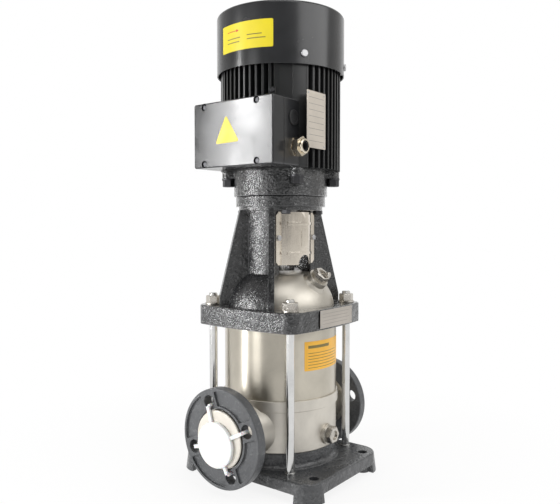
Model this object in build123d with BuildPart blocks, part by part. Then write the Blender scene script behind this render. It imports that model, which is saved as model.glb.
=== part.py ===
from build123d import *
import os
from math import cos, radians, sin, sqrt

os.makedirs("parts", exist_ok=True)

# Vertical multistage pump with its motor. Millimetres, +Z up.
# The shaft runs along Z, the floor is Z = 0, the inlet faces -X and the outlet +X.
# The service side, with drain plug, vent plug and cable gland, faces -Y.

# ---- clearances ----------------------------------------------------------------
slip = 0.3            # between bodies that move past each other
running = 0.05        # shaft in its bearing, on the radius
snug = 0.03           # a fixed piece in its seat, on the radius
thread_gap = 0.1      # screw in its threaded hole, on the radius
through_gap = 0.5     # screw in its through hole, on the radius

# ---- base plate ----------------------------------------------------------------
base_x = 193.0
base_y = 252.0
base_height = 28.5
base_corner = 30.0
base_draft = 7.0      # degrees, sides lean inwards
base_edge = 3.0
base_skin = 9.0       # thickness of the top
base_wall = 8.0
foot_height = 12.0    # arches between the feet
foot_size = 31.0      # each foot, measured in from the edge
foot_hole_x = 130.0
foot_hole_y = 215.0
foot_hole_d = 14.0
pedestal_height = 21.5
pedestal_r = 83.2
pedestal_bore = 70.0

# ---- inlet and outlet chamber --------------------------------------------------
port_height = 80.0
port_reach = 140.0    # shaft axis to the sealing face of a port
port_bore = 40.0
chamber_r = 85.0
chamber_wall = 7.0
band_r = 87.5
band_width = 15.5
chamber_height = 75.5
collar_r = 40.6
collar_width = 8.0
neck_r = 32.0
chamber_floor = 6.0
cup_r = 54.0
cup_wall = 8.0
cup_base = 4.0            # thickness of the cup's floor
cup_height = 68.0
cup_pipe_r = 23.5         # outside of the pipe from the inlet neck to the cup
cup_pipe_reach = 88.0     # from the shaft axis to its end in the neck
plug_thread_r = 10.0
plug_flats = 22.0
drain_height = 69.5
drain_boss_r = 14.5
drain_boss_rise = 4.0     # beyond the chamber wall

# ---- loose flanges -------------------------------------------------------------
flange_d = 140.0
flange_width = 15.0
flange_set_back = 2.5     # front face behind the sealing face
flange_pcd = 105.0
flange_hole_d = 19.0
flange_pocket = 3.0
flange_rim = 4.5
flange_ring = 3.2
inlet_turn = 22.0         # degrees
outlet_turn = 75.0
split_ring_width = 4.2
split_ring_lap = 1.3      # how far the split ring stands proud of the collar
cap_r = 31.7
cap_width = 5.0
cap_shift = (-3.5, -7.4)  # the cap hangs a little low in its play
cap_arm = 5.0
cap_arm_height = 3.0
cap_tip_r = 47.5

# ---- sleeve, tie rods and stages -----------------------------------------------
sleeve_r = 85.1
sleeve_wall = 1.6
sleeve_length = 101.4
spigot = 8.5              # how far each spigot reaches into the sleeve
rod_pitch = 145.2
rod_d = 12.0
rod_grip = 18.5           # depth of the rod in the base
rod_tail = 4.0            # above the nut
rod_collar_r = 7.6        # collar where each rod stands on the base
rod_collar_height = 3.0
nut_flats = 19.0
nut_height = 10.8
nut_turn = 12.0           # degrees
washer_d = 24.0
washer_height = 2.5
stages = 3
stage_r = 58.0
stage_wall = 2.5
stage_vanes = 8
impeller_r = 46.0
impeller_vanes = 6
eye_r = 17.0
shaft_r = 8.0

# ---- pump head and motor stool -------------------------------------------------
head_flange_r = 88.0
head_flange_height = 9.7
head_r = 82.0
dome_r = 62.0             # rounding of the dome
dome_rise = 20.1          # centre of that rounding above the plate's lower face
head_wall = 6.0
head_flat_r = 48.0
vent_boss_r = 15.5
vent_skirt = 5.0          # flare of the vent boss where it meets the dome
seal_r = 18.0
seal_screw_r = 27.0
seal_screw_d = 6.0
seal_screw_flats = 10.0
seal_screw_head = 4.0
seal_screw_length = 14.0
gland_plate = 5.0         # thickness of the seal's gland plate
plate_height = 28.7
plate_corner = 19.5       # about each tie rod
plate_bow = 5.4           # sides bulge outwards
stool_height = 161.4      # plate top to motor face
stool_flange_r = 67.7
stool_flange_height = 15.0
stool_neck_r = 63.5
stool_neck_height = 6.0
leg_r = 56.0
leg_wall = 6.0
apron_wall = 3.7
apron_gap = 0.8           # between the apron and the dome
rib_width = 9.0
rib_root = (45.2, 19.8)
rib_crest = (60.2, 30.6)
rib_foot = (85.1, 48.6)
rib_shoulder = 12.0       # upright part of a rib above the plate
window_y = 28.0           # flat edges of the legs beside the windows
pad_x = 45.0
pad_size = 10.0
motor_pcd = 115.0
motor_spigot_r = 47.5
stool_bore_r = 44.0
motor_screw_d = 8.0
motor_screw_flats = 13.0
motor_screw_head = 5.3
motor_screw_grip = 13.0   # depth in the motor

# ---- coupling and guards -------------------------------------------------------
coupling_r = 29.0
coupling_height = 74.0
coupling_drop = 17.0      # top of the coupling below the motor face
coupling_split = 2.0
clamp_x = 19.0            # clamp screws, from the shaft axis
clamp_z = 22.0            # clamp screws, from mid height
pin_r = 2.5
pin_half = 13.0
pin_drop = 20.0           # below the top of the pump shaft
guard_r = 46.0
guard_sheet = 1.0
guard_height = 78.0
guard_drop = 23.0         # top of the guard below the motor face
guard_span = 48.0         # half width over the wings
guard_screw_x = 43.5
guard_screw_drop = 61.0   # below the motor face
bead_inset = 17.0
arch_r = 13.0
arch_rise = 1.5
bead_rise = 1.2
bead_width = 4.0
emboss_width = 16.0       # raised rectangle in the middle of each guard
emboss_height = 25.0

# ---- motor ---------------------------------------------------------------------
shield_r = 70.7
shield_height = 38.0
frame_length = 145.0
frame_bore = 66.0
core_r = 74.0
fin_r = 90.0
fin_width = 2.8
fin_pitch = 9.4
fins_per_side = 10
pad_r = 89.0
pad_width = 41.0
lug_r = 79.5
bolt_angle = 35.5         # either side of -Y and +Y
bolt_head = 10.0
bolt_washer_d = 20.0
bolt_washer = 2.5
bolt_grip = 18.0          # depth of each long bolt in the frame
bolt_d = 10.0
bolt_flats = 16.0
cowl_r = 95.4
cowl_sheet = 1.5
cowl_height = 86.0
cowl_lap = 4.0
cowl_round = 4.0
cowl_screw_front = 32.5   # either side of -Y
cowl_screw_rear = 20.0    # either side of +Y
cowl_screw_rise = 14.0
cowl_lug_height = 18.0
grille_r = 58.0
grille_inner_r = 26.0
grille_slots = 24
grille_slot = 34.0
grille_width = 5.0
lug_height = 10.0
boss_width = 19.0         # upright boss on the frame above each long bolt
earth_gap = 12.0          # earth screw above the terminal box
earth_angle = 210.3       # degrees from +X
end_shield_height = 12.0
motor_shaft_r = 12.0
motor_shaft_end = 50.0    # below the motor face
bearing_r = 26.0
bearing_width = 15.0
stator_bore = 42.0
air_gap = 0.4
core_rise = 26.0          # rotor core above the lower end of the frame
core_drop = 22.0          # and below its upper end
winding_low = 15.0        # end windings, beyond the core
winding_high = 12.0
fan_r = 78.0
fan_height = 26.0

# ---- terminal box --------------------------------------------------------------
box_y = 146.0
box_height = 92.0
box_bottom = 1.0          # above the lower end of the frame
box_wall = 3.5
box_reach = 111.0         # shaft axis to the front of the lid
lid_depth = 23.5
gasket = 1.0
box_flat_y = 43.2         # half width of the flat back
box_back = 79.3
lid_screw_y = (-44.5, 53.0)
lid_screw_inset = 5.5
lid_recess = 4.0
gland_x = 66.5
gland_rise = 25.5
knockout_rise = 65.5
gland_flats = 24.0
gland_thread_r = 10.0
gland_collar_r = 10.0
cable_r = 5.5
knockout_r = 10.5
block_y = 44.0            # terminal block
block_z = 60.0
block_depth = 14.0

# ---- levels above the floor, from the sizes above ------------------------------
pedestal_top = base_height + pedestal_height
chamber_top = pedestal_top + chamber_height
sleeve_top = chamber_top + sleeve_length
plate_top = sleeve_top + plate_height
dome_z = sleeve_top + dome_rise
dome_x = head_r - dome_r
motor_face = plate_top + stool_height
frame_bottom = motor_face + shield_height
frame_top = frame_bottom + frame_length
cowl_bottom = frame_top - cowl_lap
cowl_top = cowl_bottom + cowl_height
head_top = dome_z + sqrt(dome_r**2 - (head_flat_r - dome_x) ** 2)
cup_seat = pedestal_top + chamber_floor
cup_floor = cup_seat + cup_base
cup_top = pedestal_top + cup_height
stack_top = sleeve_top - spigot
stage_height = (stack_top - cup_top) / stages
shaft_top = motor_face - motor_shaft_end - 2
flange_front = port_reach - flange_set_back
split_ring_r = collar_r + split_ring_lap
rod_x = rod_pitch / 2
guard_screw_z = motor_face - guard_screw_drop
cowl_screw_z = cowl_bottom + cowl_screw_rise
cowl_angles = (
    270 - cowl_screw_front,
    270 + cowl_screw_front,
    90 - cowl_screw_rear,
    90 + cowl_screw_rear,
)
bolt_angles = [90 * k + s * bolt_angle for k in (1, 3) for s in (-1, 1)]
bolt_places = [(lug_r * cos(radians(a)), lug_r * sin(radians(a))) for a in bolt_angles]

port_axis = Axis((0, 0, port_height), (1, 0, 0))
inlet_side = Plane(origin=(0, 0, port_height), x_dir=(0, -1, 0), z_dir=(-1, 0, 0))
outlet_side = Plane(origin=(0, 0, port_height), x_dir=(0, 1, 0), z_dir=(1, 0, 0))


def on_dome(radius, angle):
    """Point of a circle about the dome's rounding centre, in the XZ plane."""
    a = radians(angle)
    return (dome_x + radius * cos(a), dome_z + radius * sin(a))


def dome_at(radius, x):
    """Height of that circle at a distance from the shaft."""
    return dome_z + sqrt(radius**2 - (x - dome_x) ** 2)


def radial_plane(angle, radius):
    """Upright plane that faces outwards at an angle from +X and a distance from Z."""
    a = radians(angle)
    return Plane(
        origin=(radius * cos(a), radius * sin(a), 0),
        x_dir=(-sin(a), cos(a), 0),
        z_dir=(cos(a), sin(a), 0),
    )


def hex_screw(flats, head, shank_d, length):
    """Hexagon screw, head up, with the seat of its head at Z = 0."""
    with BuildPart() as screw:
        with BuildSketch():
            RegularPolygon(flats / 2, 6, major_radius=False)
        extrude(amount=head)
        chamfer(screw.faces().sort_by(Axis.Z)[-1].edges(), length=0.06 * flats)
        with BuildSketch():
            Circle(shank_d / 2)
        extrude(amount=-length)
    return screw.part


def pan_screw(head_d, head, shank_d, length):
    """Round head screw with a cross recess left plain, seat at Z = 0."""
    with BuildPart() as screw:
        with BuildSketch():
            Circle(head_d / 2)
        extrude(amount=head)
        fillet(screw.faces().sort_by(Axis.Z)[-1].edges(), radius=0.45 * head)
        with BuildSketch():
            Circle(shank_d / 2)
        extrude(amount=-length)
    return screw.part


def hex_plug(flats, head, thread_r, length):
    """Pipe plug with a hexagon head and a shallow round recess, seat at Z = 0."""
    with BuildPart() as plug:
        with BuildSketch():
            RegularPolygon(flats / 2, 6, major_radius=False)
        extrude(amount=head)
        chamfer(plug.faces().sort_by(Axis.Z)[-1].edges(), length=1.2)
        with BuildSketch(Plane.XY.offset(head)):
            Circle(0.3 * flats)
        extrude(amount=-0.25 * head, mode=Mode.SUBTRACT)
        with BuildSketch():
            Circle(thread_r)
        extrude(amount=-length)
    return plug.part


# ---- base plate ----------------------------------------------------------------
with BuildPart() as base_plate:
    with BuildSketch():
        RectangleRounded(base_x, base_y, base_corner)
    extrude(amount=base_height, taper=base_draft)
    fillet(base_plate.faces().sort_by(Axis.Z)[-1].edges(), radius=base_edge)
    # hollow underside, open towards the floor
    with BuildSketch():
        RectangleRounded(base_x - 2 * base_wall, base_y - 2 * base_wall, base_corner - base_wall)
    extrude(amount=base_height - base_skin, taper=base_draft, mode=Mode.SUBTRACT)
    # bosses for the tie rods, and two stiffening ribs
    with BuildSketch(Plane.XY.offset(base_height - base_skin)):
        with GridLocations(rod_pitch, rod_pitch, 2, 2):
            Circle(rod_d / 2 + 6)
        Rectangle(base_x - 2 * base_wall, 7)
        Rectangle(7, base_y - 2 * base_wall)
    extrude(amount=-(base_height - base_skin - foot_height + 2))
    # arches between the four feet
    with BuildSketch():
        Rectangle(base_x - 2 * foot_size, base_y + 20)
        Rectangle(base_x + 20, base_y - 2 * foot_size)
    extrude(amount=foot_height, mode=Mode.SUBTRACT)
    # bosses of the foot bolts stand on the floor
    with BuildSketch():
        with GridLocations(foot_hole_x, foot_hole_y, 2, 2):
            Circle(foot_hole_d / 2 + 4)
    extrude(amount=base_height - base_skin / 2)
    # pedestal that carries the chamber
    with BuildSketch(Plane.XZ):
        with BuildLine():
            Polyline(
                (pedestal_bore, base_height - 2),
                (pedestal_r + 6.3, base_height - 2),
                (pedestal_r + 6.3, base_height + 0.9),
                (pedestal_r + 4.3, base_height + 1.6),
            )
            ThreePointArc(
                (pedestal_r + 4.3, base_height + 1.6),
                (pedestal_r + 1.6, base_height + 4.2),
                (pedestal_r + 0.8, base_height + 8.5),
            )
            Polyline(
                (pedestal_r + 0.8, base_height + 8.5),
                (pedestal_r, pedestal_top),
                (pedestal_bore, pedestal_top),
                (pedestal_bore, base_height - 2),
            )
        make_face()
    revolve(axis=Axis.Z)
    # bolt holes of the feet and threaded holes of the tie rods
    with BuildSketch():
        with GridLocations(foot_hole_x, foot_hole_y, 2, 2):
            Circle(foot_hole_d / 2)
    extrude(amount=base_height + 1, mode=Mode.SUBTRACT)
    with BuildSketch(Plane.XY.offset(base_height)):
        with GridLocations(rod_pitch, rod_pitch, 2, 2):
            Circle(rod_d / 2 + thread_gap)
    extrude(amount=-base_height, mode=Mode.SUBTRACT)

# ---- inlet and outlet chamber --------------------------------------------------
with BuildPart() as port_chamber:
    with BuildSketch(Plane.XZ):
        with BuildLine():
            Polyline(
                (0, pedestal_top),
                (chamber_r - 1.2, pedestal_top),
                (chamber_r, pedestal_top + 1.5),
                (chamber_r, chamber_top - band_width - 0.8),
                (band_r, chamber_top - band_width + 0.4),
                (band_r, chamber_top - 0.6),
                (band_r - 0.6, chamber_top),
                (sleeve_r - sleeve_wall - thread_gap, chamber_top),
                (sleeve_r - sleeve_wall - thread_gap, chamber_top + spigot),
                (0, chamber_top + spigot),
                (0, pedestal_top),
            )
        make_face()
    revolve(axis=Axis.Z)
    # register in the pedestal
    with BuildSketch(Plane.XY.offset(pedestal_top)):
        Circle(pedestal_bore - thread_gap)
    extrude(amount=-3)
    # both port necks, with the collars that hold the loose flanges
    with BuildSketch(Plane.XZ):
        with BuildLine():
            Polyline(
                (-port_reach, port_height),
                (-port_reach, port_height + collar_r - 1),
                (-port_reach + 1, port_height + collar_r),
                (-port_reach + collar_width, port_height + collar_r),
                (-port_reach + collar_width, port_height + neck_r),
                (-port_reach + 22, port_height + neck_r),
            )
            Spline(
                (-port_reach + 22, port_height + neck_r),
                (-port_reach + 40, port_height + neck_r + 4),
                (-chamber_r + 12, port_height + neck_r + 13.5),
                tangents=[(1, 0), (1, 0.55)],
            )
            Polyline(
                (-chamber_r + 12, port_height + neck_r + 13.5),
                (0, port_height + neck_r + 13.5),
                (0, port_height),
                (-port_reach, port_height),
            )
        make_face()
    revolve(axis=port_axis)
    mirror(about=Plane.YZ)
    # the necks stay clear of the pedestal
    with BuildSketch(Plane.XZ):
        with BuildLine():
            Polyline(
                (pedestal_bore - thread_gap, pedestal_top),
                (pedestal_r + 1.5, pedestal_top),
                (port_reach - 23, port_height - neck_r - 0.2),
                (port_reach - 23, base_height),
                (pedestal_bore - thread_gap, base_height),
                (pedestal_bore - thread_gap, pedestal_top),
            )
        make_face()
    revolve(axis=Axis.Z, mode=Mode.SUBTRACT)
    # room for the suction cup, with the annular passage round it
    with BuildSketch(Plane.XY.offset(cup_seat)):
        Circle(chamber_r - chamber_wall)
    extrude(amount=chamber_top + spigot, mode=Mode.SUBTRACT)
    # bores of both ports, and the seat of the cup's pipe in the inlet neck
    with BuildSketch(inlet_side.offset(chamber_r - chamber_wall - 8)):
        Circle(port_bore / 2)
    extrude(amount=port_reach, mode=Mode.SUBTRACT)
    with BuildSketch(inlet_side.offset(cup_pipe_reach)):
        Circle(cup_pipe_r + snug)
    extrude(amount=-(cup_pipe_reach - chamber_r + chamber_wall + 8), mode=Mode.SUBTRACT)
    with BuildSketch(outlet_side.offset(chamber_r - chamber_wall - 8)):
        Circle(port_bore / 2)
    extrude(amount=port_reach, mode=Mode.SUBTRACT)
    # groove of the seal ring
    with BuildSketch(Plane.XZ):
        with Locations((sleeve_r - sleeve_wall - 1.2, chamber_top + spigot / 2)):
            Rectangle(2.6, 2.8)
    revolve(axis=Axis.Z, mode=Mode.SUBTRACT)
    # drain boss with its threaded hole
    with BuildSketch(Plane.XZ.offset(chamber_r - 4)):
        with Locations((0, drain_height)):
            Circle(drain_boss_r)
    extrude(amount=drain_boss_rise + 4)
    with BuildSketch(Plane.XZ.offset(chamber_r - chamber_wall - 4)):
        with Locations((0, drain_height)):
            Circle(plug_thread_r + thread_gap)
    extrude(amount=20, mode=Mode.SUBTRACT)

with BuildPart() as suction_cup:
    with BuildSketch(Plane.XY.offset(cup_seat)):
        Circle(cup_r)
    extrude(amount=cup_top - cup_seat)
    # pipe that reaches into the inlet neck
    with BuildSketch(inlet_side.offset(cup_r - 5)):
        Circle(cup_pipe_r)
    extrude(amount=cup_pipe_reach - cup_r + 5)
    with BuildSketch(Plane.XY.offset(cup_floor)):
        Circle(cup_r - cup_wall)
    extrude(amount=cup_height, mode=Mode.SUBTRACT)
    with BuildSketch(inlet_side.offset(cup_r - cup_wall - 6)):
        Circle(port_bore / 2)
    extrude(amount=cup_pipe_reach, mode=Mode.SUBTRACT)
    # boss and bush seat of the bottom bearing
    with BuildSketch(Plane.XY.offset(cup_floor)):
        Circle(shaft_r + 7)
        Circle(shaft_r + 3 + snug, mode=Mode.SUBTRACT)
    extrude(amount=16)

drain_face = chamber_r + drain_boss_rise

with BuildPart() as drain_washer:
    with BuildSketch(Plane.XZ.offset(drain_face)):
        with Locations((0, drain_height)):
            Circle(13)
            Circle(plug_thread_r + 0.3, mode=Mode.SUBTRACT)
    extrude(amount=1.5)

with BuildPart() as drain_plug:
    with Locations(Location(Plane.XZ.offset(drain_face + 1.5)) * Location((0, drain_height, 0))):
        add(hex_plug(plug_flats, 9.0, plug_thread_r, 10.5))

# ---- loose flanges, split rings and cap ----------------------------------------


def loose_flange(side, turn):
    """Cast ring with four bolt bosses, four front pockets and a stepped bore."""
    with BuildPart() as ring:
        with BuildSketch(side.offset(flange_front - flange_width)):
            Circle(flange_d / 2)
        extrude(amount=flange_width)
        chamfer(ring.edges(), length=1.2)
        # lip that rides on the split ring, then the wide front bore
        with BuildSketch(side.offset(flange_front - flange_width)):
            Circle(collar_r + slip)
        extrude(amount=flange_width, mode=Mode.SUBTRACT)
        with BuildSketch(side.offset(port_reach - collar_width - split_ring_width - slip)):
            Circle(split_ring_r + slip)
        extrude(amount=flange_width, mode=Mode.SUBTRACT)
        # pockets between the bolt bosses
        with BuildSketch(side.offset(flange_front)) as pockets:
            Circle(flange_d / 2 - flange_rim)
            Circle(split_ring_r + slip + flange_ring, mode=Mode.SUBTRACT)
            with PolarLocations(flange_pcd / 2, 4, start_angle=turn):
                Rectangle(flange_d / 3, flange_hole_d + 7, mode=Mode.SUBTRACT)
            fillet(pockets.vertices(), radius=2.4)
        extrude(amount=-flange_pocket, mode=Mode.SUBTRACT)
        with BuildSketch(side.offset(flange_front)):
            with PolarLocations(flange_pcd / 2, 4, start_angle=turn):
                Circle(flange_hole_d / 2)
        extrude(amount=-flange_width, mode=Mode.SUBTRACT)
    return ring.part


def split_ring(side):
    """Two half rings that lie behind the collar and hold the loose flange."""
    with BuildPart() as ring:
        with BuildSketch(side.offset(port_reach - collar_width)):
            Circle(split_ring_r)
            Circle(neck_r + snug, mode=Mode.SUBTRACT)
            Rectangle(2 * flange_d, 1.0, mode=Mode.SUBTRACT)
        extrude(amount=-split_ring_width)
    return ring.part


with BuildPart() as inlet_flange:
    add(loose_flange(inlet_side, inlet_turn))

with BuildPart() as outlet_flange:
    add(loose_flange(outlet_side, outlet_turn))

with BuildPart() as inlet_split_ring:
    add(split_ring(inlet_side))

with BuildPart() as outlet_split_ring:
    add(split_ring(outlet_side))

# the cap's disc lies on the sealing face and its four arms end in the bolt holes
with BuildPart() as inlet_cap:
    with BuildSketch(inlet_side.offset(port_reach + slip)):
        with Locations(cap_shift):
            Circle(cap_r)
    extrude(amount=cap_width)
    fillet(inlet_cap.faces().sort_by(Axis.X)[0].edges(), radius=1.6)
    for k in range(4):
        a = radians(inlet_turn + 90 * k)
        tip = (cap_tip_r * cos(a), cap_tip_r * sin(a))
        with BuildSketch(inlet_side.offset(port_reach + slip)):
            with BuildLine():
                Line(cap_shift, tip)
            trace(line_width=cap_arm)
        extrude(amount=cap_arm_height)
        with BuildSketch(inlet_side.offset(port_reach + slip)):
            with Locations(tip):
                Circle(cap_arm / 2)
        extrude(amount=-(flange_set_back + 8))

# ---- sleeve with its seal rings ------------------------------------------------
with BuildPart() as outer_sleeve:
    with BuildSketch(Plane.XY.offset(chamber_top)):
        Circle(sleeve_r)
        Circle(sleeve_r - sleeve_wall, mode=Mode.SUBTRACT)
    extrude(amount=sleeve_length)

with BuildPart() as sleeve_seals:
    with BuildSketch(Plane.XZ):
        with Locations(
            (sleeve_r - sleeve_wall - 1.25, chamber_top + spigot / 2),
            (sleeve_r - sleeve_wall - 1.25, sleeve_top - spigot / 2),
        ):
            Circle(1.2)
    revolve(axis=Axis.Z)

# ---- tie rods ------------------------------------------------------------------
rod_bottom = base_height - rod_grip
rod_top = plate_top + washer_height + nut_height + rod_tail

with BuildPart() as tie_rods:
    with BuildSketch(Plane.XY.offset(rod_bottom)):
        with GridLocations(rod_pitch, rod_pitch, 2, 2):
            Circle(rod_d / 2)
    extrude(amount=rod_top - rod_bottom)
    chamfer(tie_rods.edges().group_by(Axis.Z)[-1], length=1.2)
    with BuildSketch(Plane.XY.offset(base_height)):
        with GridLocations(rod_pitch, rod_pitch, 2, 2):
            Circle(rod_collar_r)
    extrude(amount=rod_collar_height)

with BuildPart() as tie_rod_washers:
    with BuildSketch(Plane.XY.offset(plate_top)):
        with GridLocations(rod_pitch, rod_pitch, 2, 2):
            Circle(washer_d / 2)
            Circle(rod_d / 2 + through_gap, mode=Mode.SUBTRACT)
    extrude(amount=washer_height)

with BuildPart() as tie_rod_nuts:
    with BuildSketch(Plane.XY.offset(plate_top + washer_height)):
        with GridLocations(rod_pitch, rod_pitch, 2, 2):
            RegularPolygon(nut_flats / 2, 6, major_radius=False, rotation=nut_turn)
    extrude(amount=nut_height)
    chamfer(tie_rod_nuts.edges().group_by(Axis.Z)[-1], length=1.2)
    with BuildSketch(Plane.XY.offset(plate_top + washer_height)):
        with GridLocations(rod_pitch, rod_pitch, 2, 2):
            Circle(rod_d / 2 + thread_gap)
    extrude(amount=nut_height, mode=Mode.SUBTRACT)

# ---- stage chambers, impellers, shaft and bearing ------------------------------
deck = 0.62 * stage_height        # return deck above the floor of a stage
impeller_low = stage_wall + 1.5
impeller_high = deck - 1.5

with BuildPart() as stage_chamber:
    with BuildSketch():
        Circle(stage_r)
    extrude(amount=stage_height)
    with BuildSketch(Plane.XY.offset(stage_wall)):
        Circle(stage_r - stage_wall)
    extrude(amount=stage_height, mode=Mode.SUBTRACT)
    # return deck on curved guide vanes
    with BuildSketch(Plane.XY.offset(deck)):
        Circle(impeller_r + 3)
    extrude(amount=stage_wall)
    with BuildSketch(Plane.XY.offset(deck + 0.5)):
        for k in range(stage_vanes):
            a = 360 / stage_vanes * k
            with BuildLine(Rotation(0, 0, a)) as guide:
                ThreePointArc((20, 0), (38, 6), (stage_r - 1, 24))
            trace(guide.line, line_width=2.2)
        Circle(stage_r - 1, mode=Mode.INTERSECT)
    extrude(amount=stage_height - deck - 0.5)
    with BuildSketch():
        Circle(eye_r + 3 + slip + 0.2)
    extrude(amount=deck - 1, mode=Mode.SUBTRACT)
    with BuildSketch():
        Circle(shaft_r + 6)
    extrude(amount=stage_height, mode=Mode.SUBTRACT)

with BuildPart() as stage_chambers:
    with Locations([(0, 0, cup_top + k * stage_height) for k in range(stages)]):
        add(stage_chamber.part)

with BuildPart() as impeller:
    with BuildSketch(Plane.XZ):
        with BuildLine():
            Polyline(
                (eye_r, 0.5),
                (eye_r + 3, 0.5),
                (eye_r + 3, impeller_low),
                (impeller_r, impeller_low),
                (impeller_r, impeller_low + 1.5),
                (eye_r, impeller_low + 1.5),
                (eye_r, 0.5),
            )
        make_face()
        with BuildLine():
            Polyline(
                (shaft_r + snug, impeller_low + 1),
                (shaft_r + 3.5, impeller_low + 1),
                (shaft_r + 5, impeller_high - 3),
                (eye_r + 4, impeller_high - 1.5),
                (impeller_r, impeller_high - 1.5),
                (impeller_r, impeller_high),
                (shaft_r + snug, impeller_high),
                (shaft_r + snug, impeller_low + 1),
            )
        make_face()
    revolve(axis=Axis.Z)
    with BuildSketch(Plane.XY.offset(impeller_low + 0.5)):
        for k in range(impeller_vanes):
            a = 360 / impeller_vanes * k
            with BuildLine(Rotation(0, 0, a)) as vane:
                ThreePointArc((eye_r + 2, 0), (31, -8), (impeller_r - 2, -24))
            trace(vane.line, line_width=2)
        Circle(impeller_r, mode=Mode.INTERSECT)
    extrude(amount=impeller_high - impeller_low - 1)

with BuildPart() as impellers:
    with Locations([(0, 0, cup_top + k * stage_height) for k in range(stages)]):
        add(impeller.part)

with BuildPart() as pump_shaft:
    with BuildSketch(Plane.XY.offset(cup_floor + 4)):
        Circle(shaft_r)
    extrude(amount=shaft_top - cup_floor - 4)
    chamfer(pump_shaft.edges().filter_by(GeomType.CIRCLE), length=1)
    with BuildSketch(Plane.YZ):
        with Locations((0, shaft_top - pin_drop)):
            Circle(pin_r + snug)
    extrude(amount=2 * shaft_r, both=True, mode=Mode.SUBTRACT)

with BuildPart() as bottom_bearing:
    with BuildSketch(Plane.XY.offset(cup_floor + 4)):
        Circle(shaft_r + 3)
        Circle(shaft_r + running, mode=Mode.SUBTRACT)
    extrude(amount=12)

# ---- pump head -----------------------------------------------------------------
vent_angle = radians(45)
vent_reach = dome_r + 10.0
vent_face = Plane(
    origin=(0, -(dome_x + vent_reach * cos(vent_angle)), dome_z + vent_reach * sin(vent_angle)),
    x_dir=(1, 0, 0),
    z_dir=(0, -cos(vent_angle), sin(vent_angle)),
)
vent_screw_z = head_top

with BuildPart() as pump_head:
    with BuildSketch(Plane.XZ):
        with BuildLine():
            Polyline(
                (0, stack_top),
                (sleeve_r - sleeve_wall - thread_gap, stack_top),
                (sleeve_r - sleeve_wall - thread_gap, sleeve_top),
                (head_flange_r, sleeve_top),
                (head_flange_r, sleeve_top + head_flange_height),
                (head_r, sleeve_top + head_flange_height),
                (head_r, dome_z),
            )
            ThreePointArc((head_r, dome_z), on_dome(dome_r, 38), (head_flat_r, head_top))
            Polyline((head_flat_r, head_top), (0, head_top), (0, stack_top))
        make_face()
    revolve(axis=Axis.Z)
    # vent boss square to the dome
    with BuildSketch(vent_face):
        Circle(vent_boss_r)
    extrude(amount=-22)
    with Locations(Location(vent_face.offset(-8))):
        Cone(
            vent_boss_r + vent_skirt,
            vent_boss_r,
            vent_skirt + 1,
            align=(Align.CENTER, Align.CENTER, Align.MAX),
        )
    # hollow inside, closed below by the ring that clamps the stages
    with BuildSketch(Plane.XZ):
        with BuildLine():
            Polyline(
                (0, stack_top + 5),
                (head_r - head_wall, stack_top + 5),
                (head_r - head_wall, dome_z),
            )
            ThreePointArc(
                (head_r - head_wall, dome_z),
                on_dome(dome_r - head_wall, 38),
                (head_flat_r, dome_at(dome_r - head_wall, head_flat_r)),
            )
            Polyline(
                (head_flat_r, dome_at(dome_r - head_wall, head_flat_r)),
                (0, dome_at(dome_r - head_wall, head_flat_r)),
                (0, stack_top + 5),
            )
        make_face()
    revolve(axis=Axis.Z, mode=Mode.SUBTRACT)
    with BuildSketch(Plane.XY.offset(stack_top)):
        Circle(stage_r - 2 * stage_wall)
        with PolarLocations((stage_r + head_r) / 2, 8):
            Circle(7)
    extrude(amount=5, mode=Mode.SUBTRACT)
    # seal chamber
    with BuildSketch(Plane.XY.offset(head_top)):
        Circle(seal_r + 4)
    extrude(amount=-26)
    with BuildSketch(Plane.XY.offset(head_top)):
        Circle(seal_r)
    extrude(amount=-27, mode=Mode.SUBTRACT)
    with BuildSketch(Plane.XY.offset(head_top)):
        with PolarLocations(seal_screw_r, 4):
            Circle(seal_screw_d / 2 + thread_gap)
    extrude(amount=gland_plate - seal_screw_length - 1, mode=Mode.SUBTRACT)
    # groove of the seal ring
    with BuildSketch(Plane.XZ):
        with Locations((sleeve_r - sleeve_wall - 1.2, sleeve_top - spigot / 2)):
            Rectangle(2.6, 2.8)
    revolve(axis=Axis.Z, mode=Mode.SUBTRACT)
    with BuildSketch(vent_face):
        Circle(plug_thread_r + thread_gap)
    extrude(amount=-19, mode=Mode.SUBTRACT)

with BuildPart() as vent_plug:
    with Locations(Location(vent_face)):
        add(hex_plug(plug_flats, 10.0, plug_thread_r, 12))
    with BuildSketch(Plane.XZ.offset(-vent_face.origin.Y)):
        with Locations((0, vent_screw_z)):
            Circle(2.5 + thread_gap)
    extrude(amount=40, mode=Mode.SUBTRACT)

with BuildPart() as vent_screw:
    with Locations(Location(Plane.XZ.offset(-vent_face.origin.Y + 13.4)) * Location((0, vent_screw_z, 0))):
        add(hex_screw(8.0, 5.0, 5.0, 12.0))

# ---- shaft seal ----------------------------------------------------------------
with BuildPart() as seal_gland:
    with BuildSketch(Plane.XY.offset(head_top)):
        Circle(seal_screw_r + 6)
    extrude(amount=gland_plate)
    with BuildSketch(Plane.XY.offset(head_top)):
        Circle(seal_r - thread_gap)
    extrude(amount=-8)
    with BuildSketch(Plane.XY.offset(head_top - 8)):
        Circle(shaft_r + 0.6)
        with PolarLocations(seal_screw_r, 4):
            Circle(seal_screw_d / 2 + through_gap)
    extrude(amount=20, mode=Mode.SUBTRACT)

with BuildPart() as seal_gland_screws:
    with PolarLocations(seal_screw_r, 4):
        with Locations((0, 0, head_top + gland_plate)):
            add(hex_screw(seal_screw_flats, seal_screw_head, seal_screw_d, seal_screw_length))

with BuildPart() as seal_seat:
    with BuildSketch(Plane.XY.offset(head_top - 8)):
        Circle(shaft_r + 7)
        Circle(shaft_r + 0.6, mode=Mode.SUBTRACT)
    extrude(amount=-4)

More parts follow.
